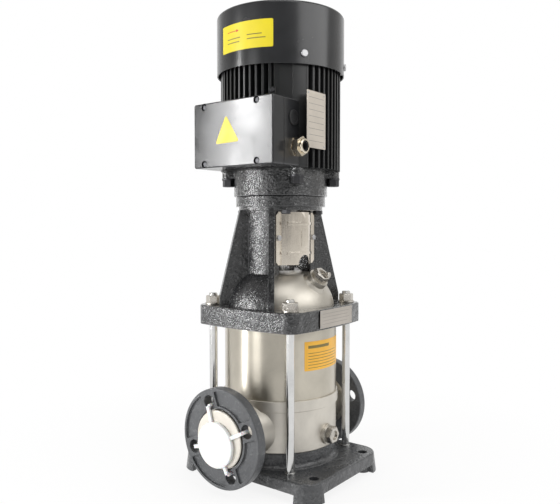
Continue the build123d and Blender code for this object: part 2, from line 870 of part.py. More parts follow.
with BuildPart() as seal_face:
    with BuildSketch(Plane.XY.offset(head_top - 12 - slip)):
        Circle(shaft_r + 6)
        Circle(shaft_r + snug, mode=Mode.SUBTRACT)
    extrude(amount=-12)

# ---- motor stool ---------------------------------------------------------------
rib_run = (rib_foot[0] - rib_crest[0], rib_foot[1] - rib_crest[1])
rib_len = sqrt(rib_run[0] ** 2 + rib_run[1] ** 2)
rib_dir = (rib_run[0] / rib_len, rib_run[1] / rib_len)
rib_out = sqrt((rib_crest[0] - rib_root[0]) ** 2 + (rib_crest[1] - rib_root[1]) ** 2)
stool_ring_z = motor_face - stool_flange_height - stool_neck_height
apron_in = dome_r + apron_gap
apron_out = apron_in + apron_wall

# leg walls: an upright panel over an apron that follows the pump head
with BuildPart() as leg_shell:
    with BuildSketch(Plane.XZ):
        with BuildLine():
            leg_in = leg_r - leg_wall
            Polyline(
                (apron_in + dome_x, dome_z),
                (apron_out + dome_x, dome_z),
            )
            ThreePointArc(
                (apron_out + dome_x, dome_z),
                on_dome(apron_out, 30),
                (leg_r, dome_at(apron_out, leg_r)),
            )
            Polyline(
                (leg_r, dome_at(apron_out, leg_r)),
                (leg_r, stool_ring_z + 1),
                (leg_in, stool_ring_z + 1),
                (leg_in, dome_at(apron_in, leg_in)),
            )
            ThreePointArc(
                (leg_in, dome_at(apron_in, leg_in)),
                on_dome(apron_in, 30),
                (apron_in + dome_x, dome_z),
            )
        make_face()
    revolve(axis=Axis.Z)
    # keep what lies between the two ribs of each leg
    apex = rib_root[0] - rib_root[1] * rib_dir[0] / rib_dir[1]
    reach = 140.0
    flare = (reach - apex) * rib_dir[1] / rib_dir[0]
    with BuildSketch(Plane.XY.offset(sleeve_top)):
        with BuildLine():
            Polyline((apex, 0), (reach, flare), (reach, -flare), (apex, 0))
        make_face()
        mirror(about=Plane.YZ)
    extrude(amount=motor_face, mode=Mode.INTERSECT)

with BuildPart() as motor_stool:
    # head plate: a square with bowed sides, rounded about each tie rod
    with BuildSketch(Plane.XY.offset(sleeve_top)):
        half = rod_x + plate_corner
        c45 = plate_corner * sin(radians(45))
        for k in range(4):
            with BuildLine(Rotation(0, 0, 90 * k)):
                ThreePointArc((-rod_x, -half), (0, -half - plate_bow), (rod_x, -half))
                ThreePointArc((rod_x, -half), (rod_x + c45, -rod_x - c45), (half, -rod_x))
        make_face()
    extrude(amount=plate_height)
    fillet(motor_stool.faces().sort_by(Axis.Z)[-1].edges(), radius=2.5)
    add(leg_shell.part)
    # four ribs from the plate up to the top flange
    for sx, sy in ((-1, -1), (-1, 1), (1, -1), (1, 1)):
        rib_plane = Plane(
            origin=(sx * rib_root[0], sy * rib_root[1], 0),
            x_dir=(sx * rib_dir[0], sy * rib_dir[1], 0),
            z_dir=(sy * rib_dir[1], -sx * rib_dir[0], 0),
        )
        with BuildSketch(rib_plane):
            with BuildLine():
                Polyline(
                    (2, sleeve_top + 5),
                    (rib_out + rib_len, sleeve_top + 5),
                    (rib_out + rib_len, plate_top + rib_shoulder),
                    (rib_out, stool_ring_z + 1),
                    (2, stool_ring_z + 1),
                    (2, sleeve_top + 5),
                )
            make_face()
        extrude(amount=rib_width / 2, both=True)
    # flat strips beside the windows, where the guards are screwed on
    with BuildSketch(Plane.XY.offset(dome_z)):
        with GridLocations(2 * pad_x, 2 * window_y - pad_size, 2, 2):
            Rectangle(pad_size, pad_size)
    extrude(amount=stool_ring_z - dome_z + 1)
    # top flange
    with BuildSketch(Plane.XY.offset(stool_ring_z)):
        Circle(stool_neck_r)
    extrude(amount=stool_neck_height)
    with BuildSketch(Plane.XY.offset(stool_ring_z + stool_neck_height)):
        Circle(stool_flange_r)
    extrude(amount=stool_flange_height)
    chamfer(motor_stool.faces().sort_by(Axis.Z)[-1].edges(), length=1)
    # room for the pump head: its flange in a step, its dome under the aprons
    with BuildSketch(Plane.XZ):
        with BuildLine():
            step = sleeve_top + head_flange_height
            Polyline(
                (0, sleeve_top - 1),
                (head_flange_r + snug, sleeve_top - 1),
                (head_flange_r + snug, step),
                (head_r + apron_gap, step),
                (head_r + apron_gap, dome_z),
            )
            ThreePointArc(
                (head_r + apron_gap, dome_z),
                on_dome(apron_in, 30),
                (stool_bore_r, dome_at(apron_in, stool_bore_r)),
            )
            Polyline(
                (stool_bore_r, dome_at(apron_in, stool_bore_r)),
                (stool_bore_r, motor_face - 5),
                (motor_spigot_r + snug, motor_face - 5),
                (motor_spigot_r + snug, motor_face + 1),
                (0, motor_face + 1),
                (0, sleeve_top - 1),
            )
        make_face()
    revolve(axis=Axis.Z, mode=Mode.SUBTRACT)
    # holes: tie rods, motor screws and guard screws
    with BuildSketch(Plane.XY.offset(sleeve_top)):
        with GridLocations(rod_pitch, rod_pitch, 2, 2):
            Circle(rod_d / 2 + through_gap)
    extrude(amount=plate_height, mode=Mode.SUBTRACT)
    with BuildSketch(Plane.XY.offset(stool_ring_z)):
        with PolarLocations(motor_pcd / 2, 4, start_angle=45):
            Circle(motor_screw_d / 2 + through_gap)
    extrude(amount=stool_neck_height + stool_flange_height, mode=Mode.SUBTRACT)
    with BuildSketch(Plane.XZ.offset(window_y)):
        with Locations((-guard_screw_x, guard_screw_z), (guard_screw_x, guard_screw_z)):
            Circle(2.5 + thread_gap)
    extrude(amount=-9, mode=Mode.SUBTRACT)
    with BuildSketch(Plane.XZ.offset(-window_y)):
        with Locations((-guard_screw_x, guard_screw_z), (guard_screw_x, guard_screw_z)):
            Circle(2.5 + thread_gap)
    extrude(amount=9, mode=Mode.SUBTRACT)

with BuildPart() as stool_screws:
    with PolarLocations(motor_pcd / 2, 4, start_angle=45):
        with Locations(Location((0, 0, stool_ring_z), (180, 0, 0))):
            grip = stool_neck_height + stool_flange_height + motor_screw_grip
            add(hex_screw(motor_screw_flats, motor_screw_head, motor_screw_d, grip))

# ---- coupling guards -----------------------------------------------------------
guard_top = motor_face - guard_drop

with BuildPart() as front_guard:
    # half round sheet with two flat wings
    with BuildSketch(Plane.XY.offset(guard_top - guard_height)) as guard_plan:
        Circle(guard_r)
        Circle(guard_r - guard_sheet, mode=Mode.SUBTRACT)
        with Locations((0, guard_r - window_y)):
            Rectangle(3 * guard_r, 2 * guard_r, mode=Mode.SUBTRACT)
        wing_in = sqrt(guard_r**2 - (window_y + guard_sheet) ** 2) - guard_sheet
        for sx in (-1, 1):
            with Locations((sx * (wing_in + guard_span) / 2, -window_y - guard_sheet / 2)):
                Rectangle(guard_span - wing_in, guard_sheet)
    extrude(amount=guard_height)
    # two beads round the sheet
    for z in (guard_top - bead_inset, guard_top - guard_height + bead_inset):
        with BuildSketch(Plane.XY.offset(z - bead_width / 2)):
            Circle(guard_r + bead_rise)
            Circle(guard_r - guard_sheet / 2, mode=Mode.SUBTRACT)
            with Locations((0, guard_r - window_y - 8)):
                Rectangle(3 * guard_r, 2 * guard_r, mode=Mode.SUBTRACT)
        extrude(amount=bead_width)
    with BuildSketch(Plane.XY.offset(guard_top - guard_height / 2 - emboss_height / 2)):
        Circle(guard_r + bead_rise / 2)
        Circle(guard_r - guard_sheet / 2, mode=Mode.SUBTRACT)
        with Locations((0, -guard_r)):
            Rectangle(emboss_width, guard_r, mode=Mode.INTERSECT)
    extrude(amount=emboss_height)
    # arched cut-out over the vent plug
    with BuildSketch(Plane.XZ.offset(window_y)):
        with Locations((0, guard_top - guard_height)):
            Rectangle(2 * arch_r, 2 * arch_rise)
        with Locations((0, guard_top - guard_height + arch_rise)):
            Circle(arch_r)
    extrude(amount=guard_r, mode=Mode.SUBTRACT)
    for x in (-guard_span, guard_span):
        corners = front_guard.edges().filter_by(Axis.Y)
        chamfer(corners.filter_by_position(Axis.X, x - 0.1, x + 0.1), length=5)
    with BuildSketch(Plane.XZ.offset(window_y)):
        with Locations((-guard_screw_x, guard_screw_z), (guard_screw_x, guard_screw_z)):
            Circle(2.5 + through_gap)
    extrude(amount=2, mode=Mode.SUBTRACT)

with BuildPart() as rear_guard:
    add(front_guard.part, rotation=(0, 0, 180))

with BuildPart() as guard_screws:
    for sx in (-1, 1):
        for turn in (0, 180):
            seat = Location((0, 0, 0), (0, 0, turn)) * Location(Plane.XZ.offset(window_y + guard_sheet))
            with Locations(seat * Location((sx * guard_screw_x, guard_screw_z, 0))):
                add(hex_screw(8.0, 3.5, 5.0, 9.0))

# ---- coupling ------------------------------------------------------------------
coupling_top = motor_face - coupling_drop
coupling_low = coupling_top - coupling_height

with BuildPart() as coupling_halves:
    with BuildSketch(Plane.XY.offset(coupling_low)):
        Circle(coupling_r)
        Circle(shaft_r + snug, mode=Mode.SUBTRACT)
    extrude(amount=coupling_height)
    rims = coupling_halves.edges().filter_by(GeomType.CIRCLE)
    chamfer(rims.filter_by(lambda e: e.radius > shaft_r + 2), length=2)
    with BuildSketch(Plane.XY.offset(shaft_top + 1)):
        Circle(motor_shaft_r + snug)
    extrude(amount=coupling_height, mode=Mode.SUBTRACT)
    with BuildSketch(Plane.XY.offset(coupling_low)):
        Rectangle(3 * coupling_r, coupling_split)
    extrude(amount=coupling_height, mode=Mode.SUBTRACT)
    with BuildSketch(Plane.YZ):
        with Locations((0, shaft_top - pin_drop)):
            Circle(pin_r + snug)
    extrude(amount=pin_half + 0.5, both=True, mode=Mode.SUBTRACT)
    # four clamp screws cross both halves
    with BuildSketch(Plane.XZ):
        with Locations((0, coupling_top - coupling_height / 2)):
            with GridLocations(2 * clamp_x, 2 * clamp_z, 2, 2):
                Circle(3 + thread_gap)
    extrude(amount=15, both=True, mode=Mode.SUBTRACT)
    with BuildSketch(Plane.XZ.offset(coupling_r - 14)):
        with Locations((0, coupling_top - coupling_height / 2)):
            with GridLocations(2 * clamp_x, 2 * clamp_z, 2, 2):
                Circle(5.3)
    extrude(amount=20, mode=Mode.SUBTRACT)

with BuildPart() as coupling_screws:
    with BuildSketch(Plane.XZ.offset(coupling_r - 14)):
        with Locations((0, coupling_top - coupling_height / 2)):
            with GridLocations(2 * clamp_x, 2 * clamp_z, 2, 2):
                Circle(5)
                RegularPolygon(2.5, 6, major_radius=False, mode=Mode.SUBTRACT)
    extrude(amount=6)
    with BuildSketch(Plane.XZ.offset(coupling_r - 14)):
        with Locations((0, coupling_top - coupling_height / 2)):
            with GridLocations(2 * clamp_x, 2 * clamp_z, 2, 2):
                Circle(5)
    extrude(amount=2)
    with BuildSketch(Plane.XZ.offset(coupling_r - 14)):
        with Locations((0, coupling_top - coupling_height / 2)):
            with GridLocations(2 * clamp_x, 2 * clamp_z, 2, 2):
                Circle(3)
    extrude(amount=-(coupling_r - 14 + 14))

with BuildPart() as coupling_pin:
    with BuildSketch(Plane.YZ):
        with Locations((0, shaft_top - pin_drop)):
            Circle(pin_r)
    extrude(amount=pin_half, both=True)

# ---- drive-end shield ----------------------------------------------------------
bearing_z = motor_face + 15
seat_depth = 5.0          # how far each shield reaches into the frame

with BuildPart() as drive_end_shield:
    with BuildSketch(Plane.XZ):
        with BuildLine():
            Polyline(
                (motor_shaft_r + 2, motor_face),
                (motor_spigot_r - 8, motor_face),
                (motor_spigot_r - 8, motor_face - 4),
                (motor_spigot_r - thread_gap, motor_face - 4),
                (motor_spigot_r - thread_gap, motor_face),
                (shield_r - 1, motor_face),
                (shield_r, motor_face + 1),
                (shield_r, frame_bottom),
                (frame_bore - thread_gap, frame_bottom),
                (frame_bore - thread_gap, frame_bottom + seat_depth),
                (frame_bore - 5, frame_bottom + seat_depth),
                (frame_bore - 5, motor_face + 18),
                (bearing_r + 8, motor_face + 18),
                (bearing_r + 8, bearing_z + bearing_width),
                (bearing_r + snug, bearing_z + bearing_width),
                (bearing_r + snug, bearing_z),
                (motor_shaft_r + 2, bearing_z),
                (motor_shaft_r + 2, motor_face),
            )
        make_face()
    revolve(axis=Axis.Z)
    # lugs for the long frame bolts
    with BuildSketch(Plane.XY.offset(frame_bottom)):
        for a in bolt_angles:
            with PolarLocations(lug_r, 1, start_angle=a):
                Circle(boss_width / 2)
            with PolarLocations(lug_r - 7, 1, start_angle=a):
                Rectangle(14, boss_width)
    extrude(amount=-lug_height)
    # the wall gives way to the washers under the lugs
    with BuildSketch(Plane.XY.offset(frame_bottom - lug_height)):
        with Locations(bolt_places):
            Circle(bolt_washer_d / 2 + 0.8)
    extrude(amount=-(bolt_head + bolt_washer + 2), mode=Mode.SUBTRACT)
    with BuildSketch(Plane.XY.offset(frame_bottom)):
        with Locations(bolt_places):
            Circle(bolt_d / 2 + through_gap)
    extrude(amount=-lug_height, mode=Mode.SUBTRACT)
    # blind threaded holes for the screws of the stool
    with BuildSketch(Plane.XY.offset(motor_face)):
        with PolarLocations(motor_pcd / 2, 4, start_angle=45):
            Circle(motor_screw_d / 2 + thread_gap)
    extrude(amount=motor_screw_grip + 1, mode=Mode.SUBTRACT)

with BuildPart() as frame_bolt:
    # hexagon screw with its captive washer
    add(hex_screw(bolt_flats, bolt_washer + bolt_head, bolt_d, lug_height + bolt_grip))
    with BuildSketch():
        Circle(bolt_washer_d / 2)
    extrude(amount=bolt_washer)

with BuildPart() as frame_bolts:
    for x, y in bolt_places:
        with Locations(Location((x, y, frame_bottom - lug_height), (180, 0, 0))):
            add(frame_bolt.part)

# ---- finned motor frame --------------------------------------------------------
box_z = frame_bottom + box_bottom
earth_z = box_z + box_height + earth_gap
earth_plane = radial_plane(earth_angle, fin_r - 1)

with BuildPart() as motor_frame:
    with BuildSketch(Plane.XY.offset(frame_bottom)):
        # straight fins on all four sides
        with PolarLocations(0, 4):
            with Locations((fin_r / 2 + frame_bore / 2, 0)):
                with GridLocations(0, fin_pitch, 1, fins_per_side):
                    Rectangle(fin_r - frame_bore, fin_width)
        Circle(fin_r, mode=Mode.INTERSECT)
        # solid corner pads
        with PolarLocations(0, 4, start_angle=45):
            with Locations((pad_r / 2, 0)):
                Rectangle(pad_r, pad_width)
        # a boss above each long bolt
        for a in bolt_angles:
            with PolarLocations(fin_r / 2, 1, start_angle=a):
                Rectangle(fin_r, boss_width)
        Circle(fin_r, mode=Mode.INTERSECT)
        Circle(core_r)
        Circle(frame_bore, mode=Mode.SUBTRACT)
    extrude(amount=frame_length)
    # flat seat of the terminal box: the fins behind it are cut back
    with BuildSketch(Plane.YZ.offset(-box_back)):
        with Locations((0, box_z + box_height / 2)):
            Rectangle(2 * box_flat_y, box_height + 0.8)
    extrude(amount=-20, mode=Mode.SUBTRACT)
    # earth lug on the edge of a corner pad
    with BuildSketch(earth_plane.offset(2.5)):
        with Locations((0, earth_z)):
            Rectangle(9, 9)
    extrude(amount=-14.5)
    with BuildSketch(earth_plane.offset(2.5)):
        with Locations((0, earth_z)):
            Circle(2 + thread_gap)
    extrude(amount=-9, mode=Mode.SUBTRACT)
    # threaded holes for the long bolts
    with BuildSketch(Plane.XY.offset(frame_bottom)):
        with Locations(bolt_places):
            Circle(bolt_d / 2 + thread_gap)
    extrude(amount=bolt_grip + 2, mode=Mode.SUBTRACT)

with BuildPart() as earth_screw:
    with Locations(Location(earth_plane.offset(2.5)) * Location((0, earth_z, 0))):
        add(pan_screw(6.5, 2.4, 4.0, 8.0))

# ---- motor inside --------------------------------------------------------------
core_low = frame_bottom + core_rise
core_high = frame_top - core_drop
rear_bearing_z = frame_top - 2

with BuildPart() as stator:
    with BuildSketch(Plane.XZ):
        with BuildLine():
            Polyline(
                (stator_bore, core_low),
                (stator_bore + 5, core_low),
                (stator_bore + 6, core_low - winding_low),
                (frame_bore - 4, core_low - winding_low),
                (frame_bore - 4, core_low),
                (frame_bore - snug, core_low),
                (frame_bore - snug, core_high),
                (frame_bore - 4, core_high),
                (frame_bore - 4, core_high + winding_high),
                (stator_bore + 6, core_high + winding_high),
                (stator_bore + 5, core_high),
                (stator_bore, core_high),
                (stator_bore, core_low),
            )
        make_face()
    revolve(axis=Axis.Z)

with BuildPart() as rotor_core:
    with BuildSketch(Plane.XY.offset(core_low)):
        Circle(stator_bore - air_gap)
        Circle(motor_shaft_r + 3 + snug, mode=Mode.SUBTRACT)
    extrude(amount=core_high - core_low)

fan_seat_r = motor_shaft_r - 3
fan_low = frame_top + end_shield_height + 12

with BuildPart() as motor_shaft:
    with BuildSketch(Plane.XZ):
        with BuildLine():
            Polyline(
                (0, motor_face - motor_shaft_end),
                (motor_shaft_r - 1, motor_face - motor_shaft_end),
                (motor_shaft_r, motor_face - motor_shaft_end + 1),
                (motor_shaft_r, bearing_z + bearing_width + 2),
                (motor_shaft_r + 3, bearing_z + bearing_width + 2),
                (motor_shaft_r + 3, rear_bearing_z - 2),
                (motor_shaft_r, rear_bearing_z - 2),
                (motor_shaft_r, rear_bearing_z + bearing_width + 1),
                (fan_seat_r, rear_bearing_z + bearing_width + 1),
                (fan_seat_r, fan_low + fan_height + 3),
                (0, fan_low + fan_height + 3),
                (0, motor_face - motor_shaft_end),
            )
        make_face()
    revolve(axis=Axis.Z)

with BuildPart() as motor_bearings:
    with BuildSketch(Plane.XZ):
        for z in (bearing_z, rear_bearing_z):
            with Locations(((motor_shaft_r + running + bearing_r) / 2, z + bearing_width / 2)):
                Rectangle(bearing_r - motor_shaft_r - running, bearing_width - 1)
    revolve(axis=Axis.Z)

with BuildPart() as fan_end_shield:
    with BuildSketch(Plane.XZ):
        with BuildLine():
            Polyline(
                (frame_bore - thread_gap, frame_top - seat_depth),
                (frame_bore - thread_gap, frame_top),
                (core_r + 4, frame_top),
                (core_r + 4, frame_top + end_shield_height - 4),
                (core_r, frame_top + end_shield_height),
                (bearing_r + 12, frame_top + end_shield_height),
                (bearing_r + 8, rear_bearing_z + bearing_width + 4),
                (motor_shaft_r + 1.5, rear_bearing_z + bearing_width + 4),
                (motor_shaft_r + 1.5, rear_bearing_z + bearing_width),
                (bearing_r + snug, rear_bearing_z + bearing_width),
                (bearing_r + snug, rear_bearing_z),
                (bearing_r + 8, rear_bearing_z),
                (bearing_r + 10, frame_top + 5),
                (frame_bore - 6, frame_top + 5),
                (frame_bore - 6, frame_top - seat_depth),
                (frame_bore - thread_gap, frame_top - seat_depth),
            )
        make_face()
    revolve(axis=Axis.Z)
    # four lugs that carry the cowl
    with BuildSketch(Plane.XY.offset(frame_top)) as cowl_lugs:
        for a in cowl_angles:
            with PolarLocations(core_r + 8, 1, start_angle=a):
                Rectangle(36, 13)
        Circle(cowl_r - cowl_sheet - snug, mode=Mode.INTERSECT)
        Circle(core_r - 4, mode=Mode.SUBTRACT)
    extrude(amount=cowl_lug_height)
    for a in cowl_angles:
        with BuildSketch(radial_plane(a, cowl_r)):
            with Locations((0, cowl_screw_z)):
                Circle(2.5 + thread_gap)
        extrude(amount=-14, mode=Mode.SUBTRACT)

# ---- fan and cowl --------------------------------------------------------------
with BuildPart() as cooling_fan:
    with BuildSketch(Plane.XY.offset(fan_low)):
        Circle(fan_seat_r + 10)
    extrude(amount=fan_height)
    with BuildSketch(Plane.XY.offset(fan_low)):
        Circle(fan_r - 20)
    extrude(amount=2)
    with BuildSketch(Plane.XY.offset(fan_low + 1)):
        with PolarLocations((fan_r + fan_seat_r + 8) / 2, 8):
            Rectangle(fan_r - fan_seat_r - 8, 2.2)
    extrude(amount=fan_height - 3)
    with BuildSketch(Plane.XY.offset(fan_low)):
        Circle(fan_seat_r + snug)
    extrude(amount=fan_height, mode=Mode.SUBTRACT)

with BuildPart() as fan_cowl:
    with BuildSketch(Plane.XZ):
        with BuildLine():
            c45 = cowl_round * (1 - sin(radians(45)))
            i45 = (cowl_round - cowl_sheet) * (1 - sin(radians(45))) + cowl_sheet
            Line((cowl_r, cowl_bottom), (cowl_r, cowl_top - cowl_round))
            ThreePointArc(
                (cowl_r, cowl_top - cowl_round),
                (cowl_r - c45, cowl_top - c45),
                (cowl_r - cowl_round, cowl_top),
            )
            Polyline(
                (cowl_r - cowl_round, cowl_top),
                (0, cowl_top),
                (0, cowl_top - cowl_sheet),
                (cowl_r - cowl_round, cowl_top - cowl_sheet),
            )
            ThreePointArc(
                (cowl_r - cowl_round, cowl_top - cowl_sheet),
                (cowl_r - i45, cowl_top - i45),
                (cowl_r - cowl_sheet, cowl_top - cowl_round),
            )
            Polyline(
                (cowl_r - cowl_sheet, cowl_top - cowl_round),
                (cowl_r - cowl_sheet, cowl_bottom),
                (cowl_r, cowl_bottom),
            )
        make_face()
    revolve(axis=Axis.Z)
    # air inlet: two rings of radial slots round a plain centre
    with BuildSketch(Plane.XY.offset(cowl_top)):
        with PolarLocations(grille_r, grille_slots):
            SlotOverall(grille_slot, grille_width)
        with PolarLocations(grille_inner_r, grille_slots // 2):
            SlotOverall(grille_slot * 0.6, grille_width)
    extrude(amount=-2 * cowl_sheet, mode=Mode.SUBTRACT)
    for a in cowl_angles:
        with BuildSketch(radial_plane(a, cowl_r - 5)):
            with Locations((0, cowl_screw_z)):
                Circle(2.5 + through_gap)
        extrude(amount=10, mode=Mode.SUBTRACT)

with BuildPart() as cowl_screws:
    for a in cowl_angles:
        with Locations(Location(radial_plane(a, cowl_r + 0.15)) * Location((0, cowl_screw_z, 0))):
            add(pan_screw(10.0, 2.8, 5.0, 11.0))

# ---- terminal box --------------------------------------------------------------
box_front = box_reach - lid_depth      # joint plane, measured from the shaft
box_top = box_z + box_height
saddle_r = fin_r + slip
gland_z = box_z + gland_rise
knockout_z = box_z + knockout_rise
lid_screw_z = (box_z + lid_screw_inset, box_top - lid_screw_inset)
lid_plane = Plane(origin=(0, 0, 0), x_dir=(0, -1, 0), z_dir=(-1, 0, 0))
screw_points = [(-y, z) for y in lid_screw_y for z in lid_screw_z]


def box_plan(wall, front):
    """Closed plan of the box base: flat back, two saddle arcs, straight sides."""
    r = saddle_r + wall
    side = box_y / 2 - wall
    back = box_back + wall + 0.1
    flat = sqrt(r**2 - back**2)
    low = sqrt(r**2 - side**2)
    mid_a = (flat + side) / 2
    mid_x = sqrt(r**2 - mid_a**2)
    with BuildLine() as plan:
        Polyline((-low, -side), (-front, -side), (-front, side), (-low, side))
        ThreePointArc((-low, side), (-mid_x, mid_a), (-back, flat))
        Line((-back, flat), (-back, -flat))
        ThreePointArc((-back, -flat), (-mid_x, -mid_a), (-low, -side))
    return plan.line


with BuildPart() as box_base:
    with BuildSketch(Plane.XY.offset(box_z)):
        add(box_plan(0, box_front - gasket))
        make_face()
    extrude(amount=box_height)
    fillet(box_base.edges().filter_by(Axis.X), radius=3)
    with BuildSketch(Plane.XY.offset(box_z + box_wall)):
        add(box_plan(box_wall, box_front + 5))
        make_face()
    extrude(amount=box_height - 2 * box_wall, mode=Mode.SUBTRACT)
    # posts for the lid screws
    with BuildSketch(lid_plane.offset(box_front - gasket)):
        with Locations(screw_points):
            Circle(5.0)
    extrude(amount=-(box_front - gasket - box_back - 0.6))
    with BuildSketch(lid_plane.offset(box_front - gasket)):
        with Locations(screw_points):
            Circle(2 + thread_gap)
    extrude(amount=-6, mode=Mode.SUBTRACT)
    # cable entry and knockout on the service side
    with BuildSketch(Plane.XZ.offset(box_y / 2)):
        with Locations((-gland_x, gland_z)):
            Circle(gland_thread_r + thread_gap)
        with Locations((-gland_x, knockout_z)):
            Circle(knockout_r - 1)
    extrude(amount=-box_wall, mode=Mode.SUBTRACT)

with BuildPart() as box_gasket:
    with BuildSketch(lid_plane.offset(box_front - gasket)):
        with Locations((0, box_z + box_height / 2)):
            RectangleRounded(box_y - 1, box_height - 1, 2.5)
            Rectangle(box_y - 2 * box_wall, box_height - 2 * box_wall, mode=Mode.SUBTRACT)
        with Locations(screw_points):
            Circle(4.8)
        with Locations(screw_points):
            Circle(2 + through_gap, mode=Mode.SUBTRACT)
    extrude(amount=gasket)

with BuildPart() as box_lid:
    with BuildSketch(lid_plane.offset(box_front)):
        with Locations((0, box_z + box_height / 2)):
            RectangleRounded(box_y, box_height, 3)
    extrude(amount=lid_depth)
    fillet(box_lid.faces().sort_by(Axis.X)[0].edges(), radius=2)
    with BuildSketch(lid_plane.offset(box_front)):
        with Locations((0, box_z + box_height / 2)):
            Rectangle(box_y - 2 * box_wall, box_height - 2 * box_wall)
    extrude(amount=lid_depth - 3, mode=Mode.SUBTRACT)
    with BuildSketch(lid_plane.offset(box_front)):
        with Locations(screw_points):
            Circle(6.0)
        with Locations((0, box_z + box_height / 2)):
            RectangleRounded(box_y, box_height, 3, mode=Mode.INTERSECT)
    extrude(amount=lid_depth - 1)
    with BuildSketch(lid_plane.offset(box_front)):
        with Locations(screw_points):
            Circle(2 + through_gap)
    extrude(amount=lid_depth, mode=Mode.SUBTRACT)
    with BuildSketch(lid_plane.offset(box_reach - lid_recess)):
        with Locations(screw_points):
            Circle(4.8)
    extrude(amount=lid_recess, mode=Mode.SUBTRACT)

with BuildPart() as lid_screws:
    for y, z in screw_points:
        with Locations(Location(lid_plane.offset(box_reach - lid_recess)) * Location((y, z, 0))):
            add(pan_screw(7.6, 2.6, 4.0, lid_depth - lid_recess + gasket + 5))

with BuildPart() as terminal_block:
    with BuildSketch(lid_plane.offset(box_back + 0.1 + box_wall)):
        with Locations((0, box_z + box_height / 2)):
            Rectangle(block_y, block_z)
    extrude(amount=block_depth)
    with BuildSketch(lid_plane.offset(box_back + 0.1 + box_wall + block_depth)):
        with Locations((0, box_z + box_height / 2)):
            with GridLocations(0.6 * block_y, 0.3 * block_z, 2, 3):
                Circle(2.2)
    extrude(amount=7)

# cable gland: body with its hexagon on the wall, rubber seal and domed nut
gland_axis = Location(Plane.XZ.offset(box_y / 2)) * Location((-gland_x, gland_z, 0))

with BuildPart() as gland_body:
    with Locations(gland_axis):
        Cylinder(gland_thread_r, box_wall, align=(Align.CENTER, Align.CENTER, Align.MAX))
        Cylinder(gland_thread_r - 0.5, 14, align=(Align.CENTER, Align.CENTER, Align.MIN))
    with BuildSketch(Plane.XZ.offset(box_y / 2)):
        with Locations((-gland_x, gland_z)):
            RegularPolygon(gland_flats / 2, 6, major_radius=False, rotation=10)
    extrude(amount=6)
    with Locations(gland_axis):
        Cylinder(7.5, 40, mode=Mode.SUBTRACT)

with BuildPart() as gland_nut:
    with BuildSketch(Plane.XZ.offset(box_y / 2 + 7)):
        with Locations((-gland_x, gland_z)):
            RegularPolygon(gland_flats / 2, 6, major_radius=False, rotation=25)
    extrude(amount=9)
    with Locations(gland_axis * Location((0, 0, 16))):
        Cylinder(gland_collar_r, 5, align=(Align.CENTER, Align.CENTER, Align.MIN))
    fillet(gland_nut.faces().sort_by(Axis.Y)[0].edges(), radius=1.6)
    with Locations(gland_axis * Location((0, 0, 7))):
        Cylinder(
            gland_thread_r - 0.5 + thread_gap,
            7.5,
            align=(Align.CENTER, Align.CENTER, Align.MIN),
            mode=Mode.SUBTRACT,
        )
        Cylinder(7.5, 40, mode=Mode.SUBTRACT)

with BuildPart() as gland_seal:
    with Locations(gland_axis * Location((0, 0, 2))):
        Cylinder(7.5 - snug, 18, align=(Align.CENTER, Align.CENTER, Align.MIN))
        Cylinder(cable_r, 60, mode=Mode.SUBTRACT)

with BuildPart() as knockout_plug:
    with Locations(Location(Plane.XZ.offset(box_y / 2)) * Location((-gland_x, knockout_z, 0))):
        Cylinder(knockout_r, 2.4, align=(Align.CENTER, Align.CENTER, Align.MIN))
        Cylinder(
            knockout_r - 1 - thread_gap,
            box_wall,
            align=(Align.CENTER, Align.CENTER, Align.MAX),
        )
    fillet(knockout_plug.faces().sort_by(Axis.Y)[0].edges(), radius=0.8)
    # shallow recess inside its rim
    with BuildSketch(Plane.XZ.offset(box_y / 2 + 2.4)):
        with Locations((-gland_x, knockout_z)):
            Circle(knockout_r - 3)
    extrude(amount=-1.2, mode=Mode.SUBTRACT)

# ---- one STEP file for each piece ----------------------------------------------
nodes = {
    "base_plate": base_plate,
    "port_chamber": port_chamber,
    "suction_cup": suction_cup,
    "drain_washer": drain_washer,
    "drain_plug": drain_plug,
    "inlet_flange": inlet_flange,
    "outlet_flange": outlet_flange,
    "inlet_split_ring": inlet_split_ring,
    "outlet_split_ring": outlet_split_ring,
    "inlet_cap": inlet_cap,
    "outer_sleeve": outer_sleeve,
    "sleeve_seals": sleeve_seals,
    "tie_rods": tie_rods,
    "tie_rod_washers": tie_rod_washers,
    "tie_rod_nuts": tie_rod_nuts,
    "stage_chambers": stage_chambers,
    "impellers": impellers,
    "pump_shaft": pump_shaft,
    "bottom_bearing": bottom_bearing,
    "pump_head": pump_head,
    "vent_plug": vent_plug,
    "vent_screw": vent_screw,
    "seal_gland": seal_gland,
    "seal_gland_screws": seal_gland_screws,
    "seal_seat": seal_seat,
    "seal_face": seal_face,
    "motor_stool": motor_stool,
    "stool_screws": stool_screws,
    "front_guard": front_guard,
    "rear_guard": rear_guard,
    "guard_screws": guard_screws,
    "coupling_halves": coupling_halves,
    "coupling_screws": coupling_screws,
    "coupling_pin": coupling_pin,
    "drive_end_shield": drive_end_shield,
    "frame_bolts": frame_bolts,
    "motor_frame": motor_frame,
    "earth_screw": earth_screw,
    "stator": stator,
    "rotor_core": rotor_core,
    "motor_shaft": motor_shaft,
    "motor_bearings": motor_bearings,
    "fan_end_shield": fan_end_shield,
    "cooling_fan": cooling_fan,
    "fan_cowl": fan_cowl,
    "cowl_screws": cowl_screws,
    "box_base": box_base,
    "box_gasket": box_gasket,
    "box_lid": box_lid,
    "lid_screws": lid_screws,
    "terminal_block": terminal_block,
    "gland_body": gland_body,
    "gland_nut": gland_nut,
    "gland_seal": gland_seal,
    "knockout_plug": knockout_plug,
}
for name, piece in nodes.items():
    piece.part.label = name
    export_step(piece.part, f"parts/{name}.step")
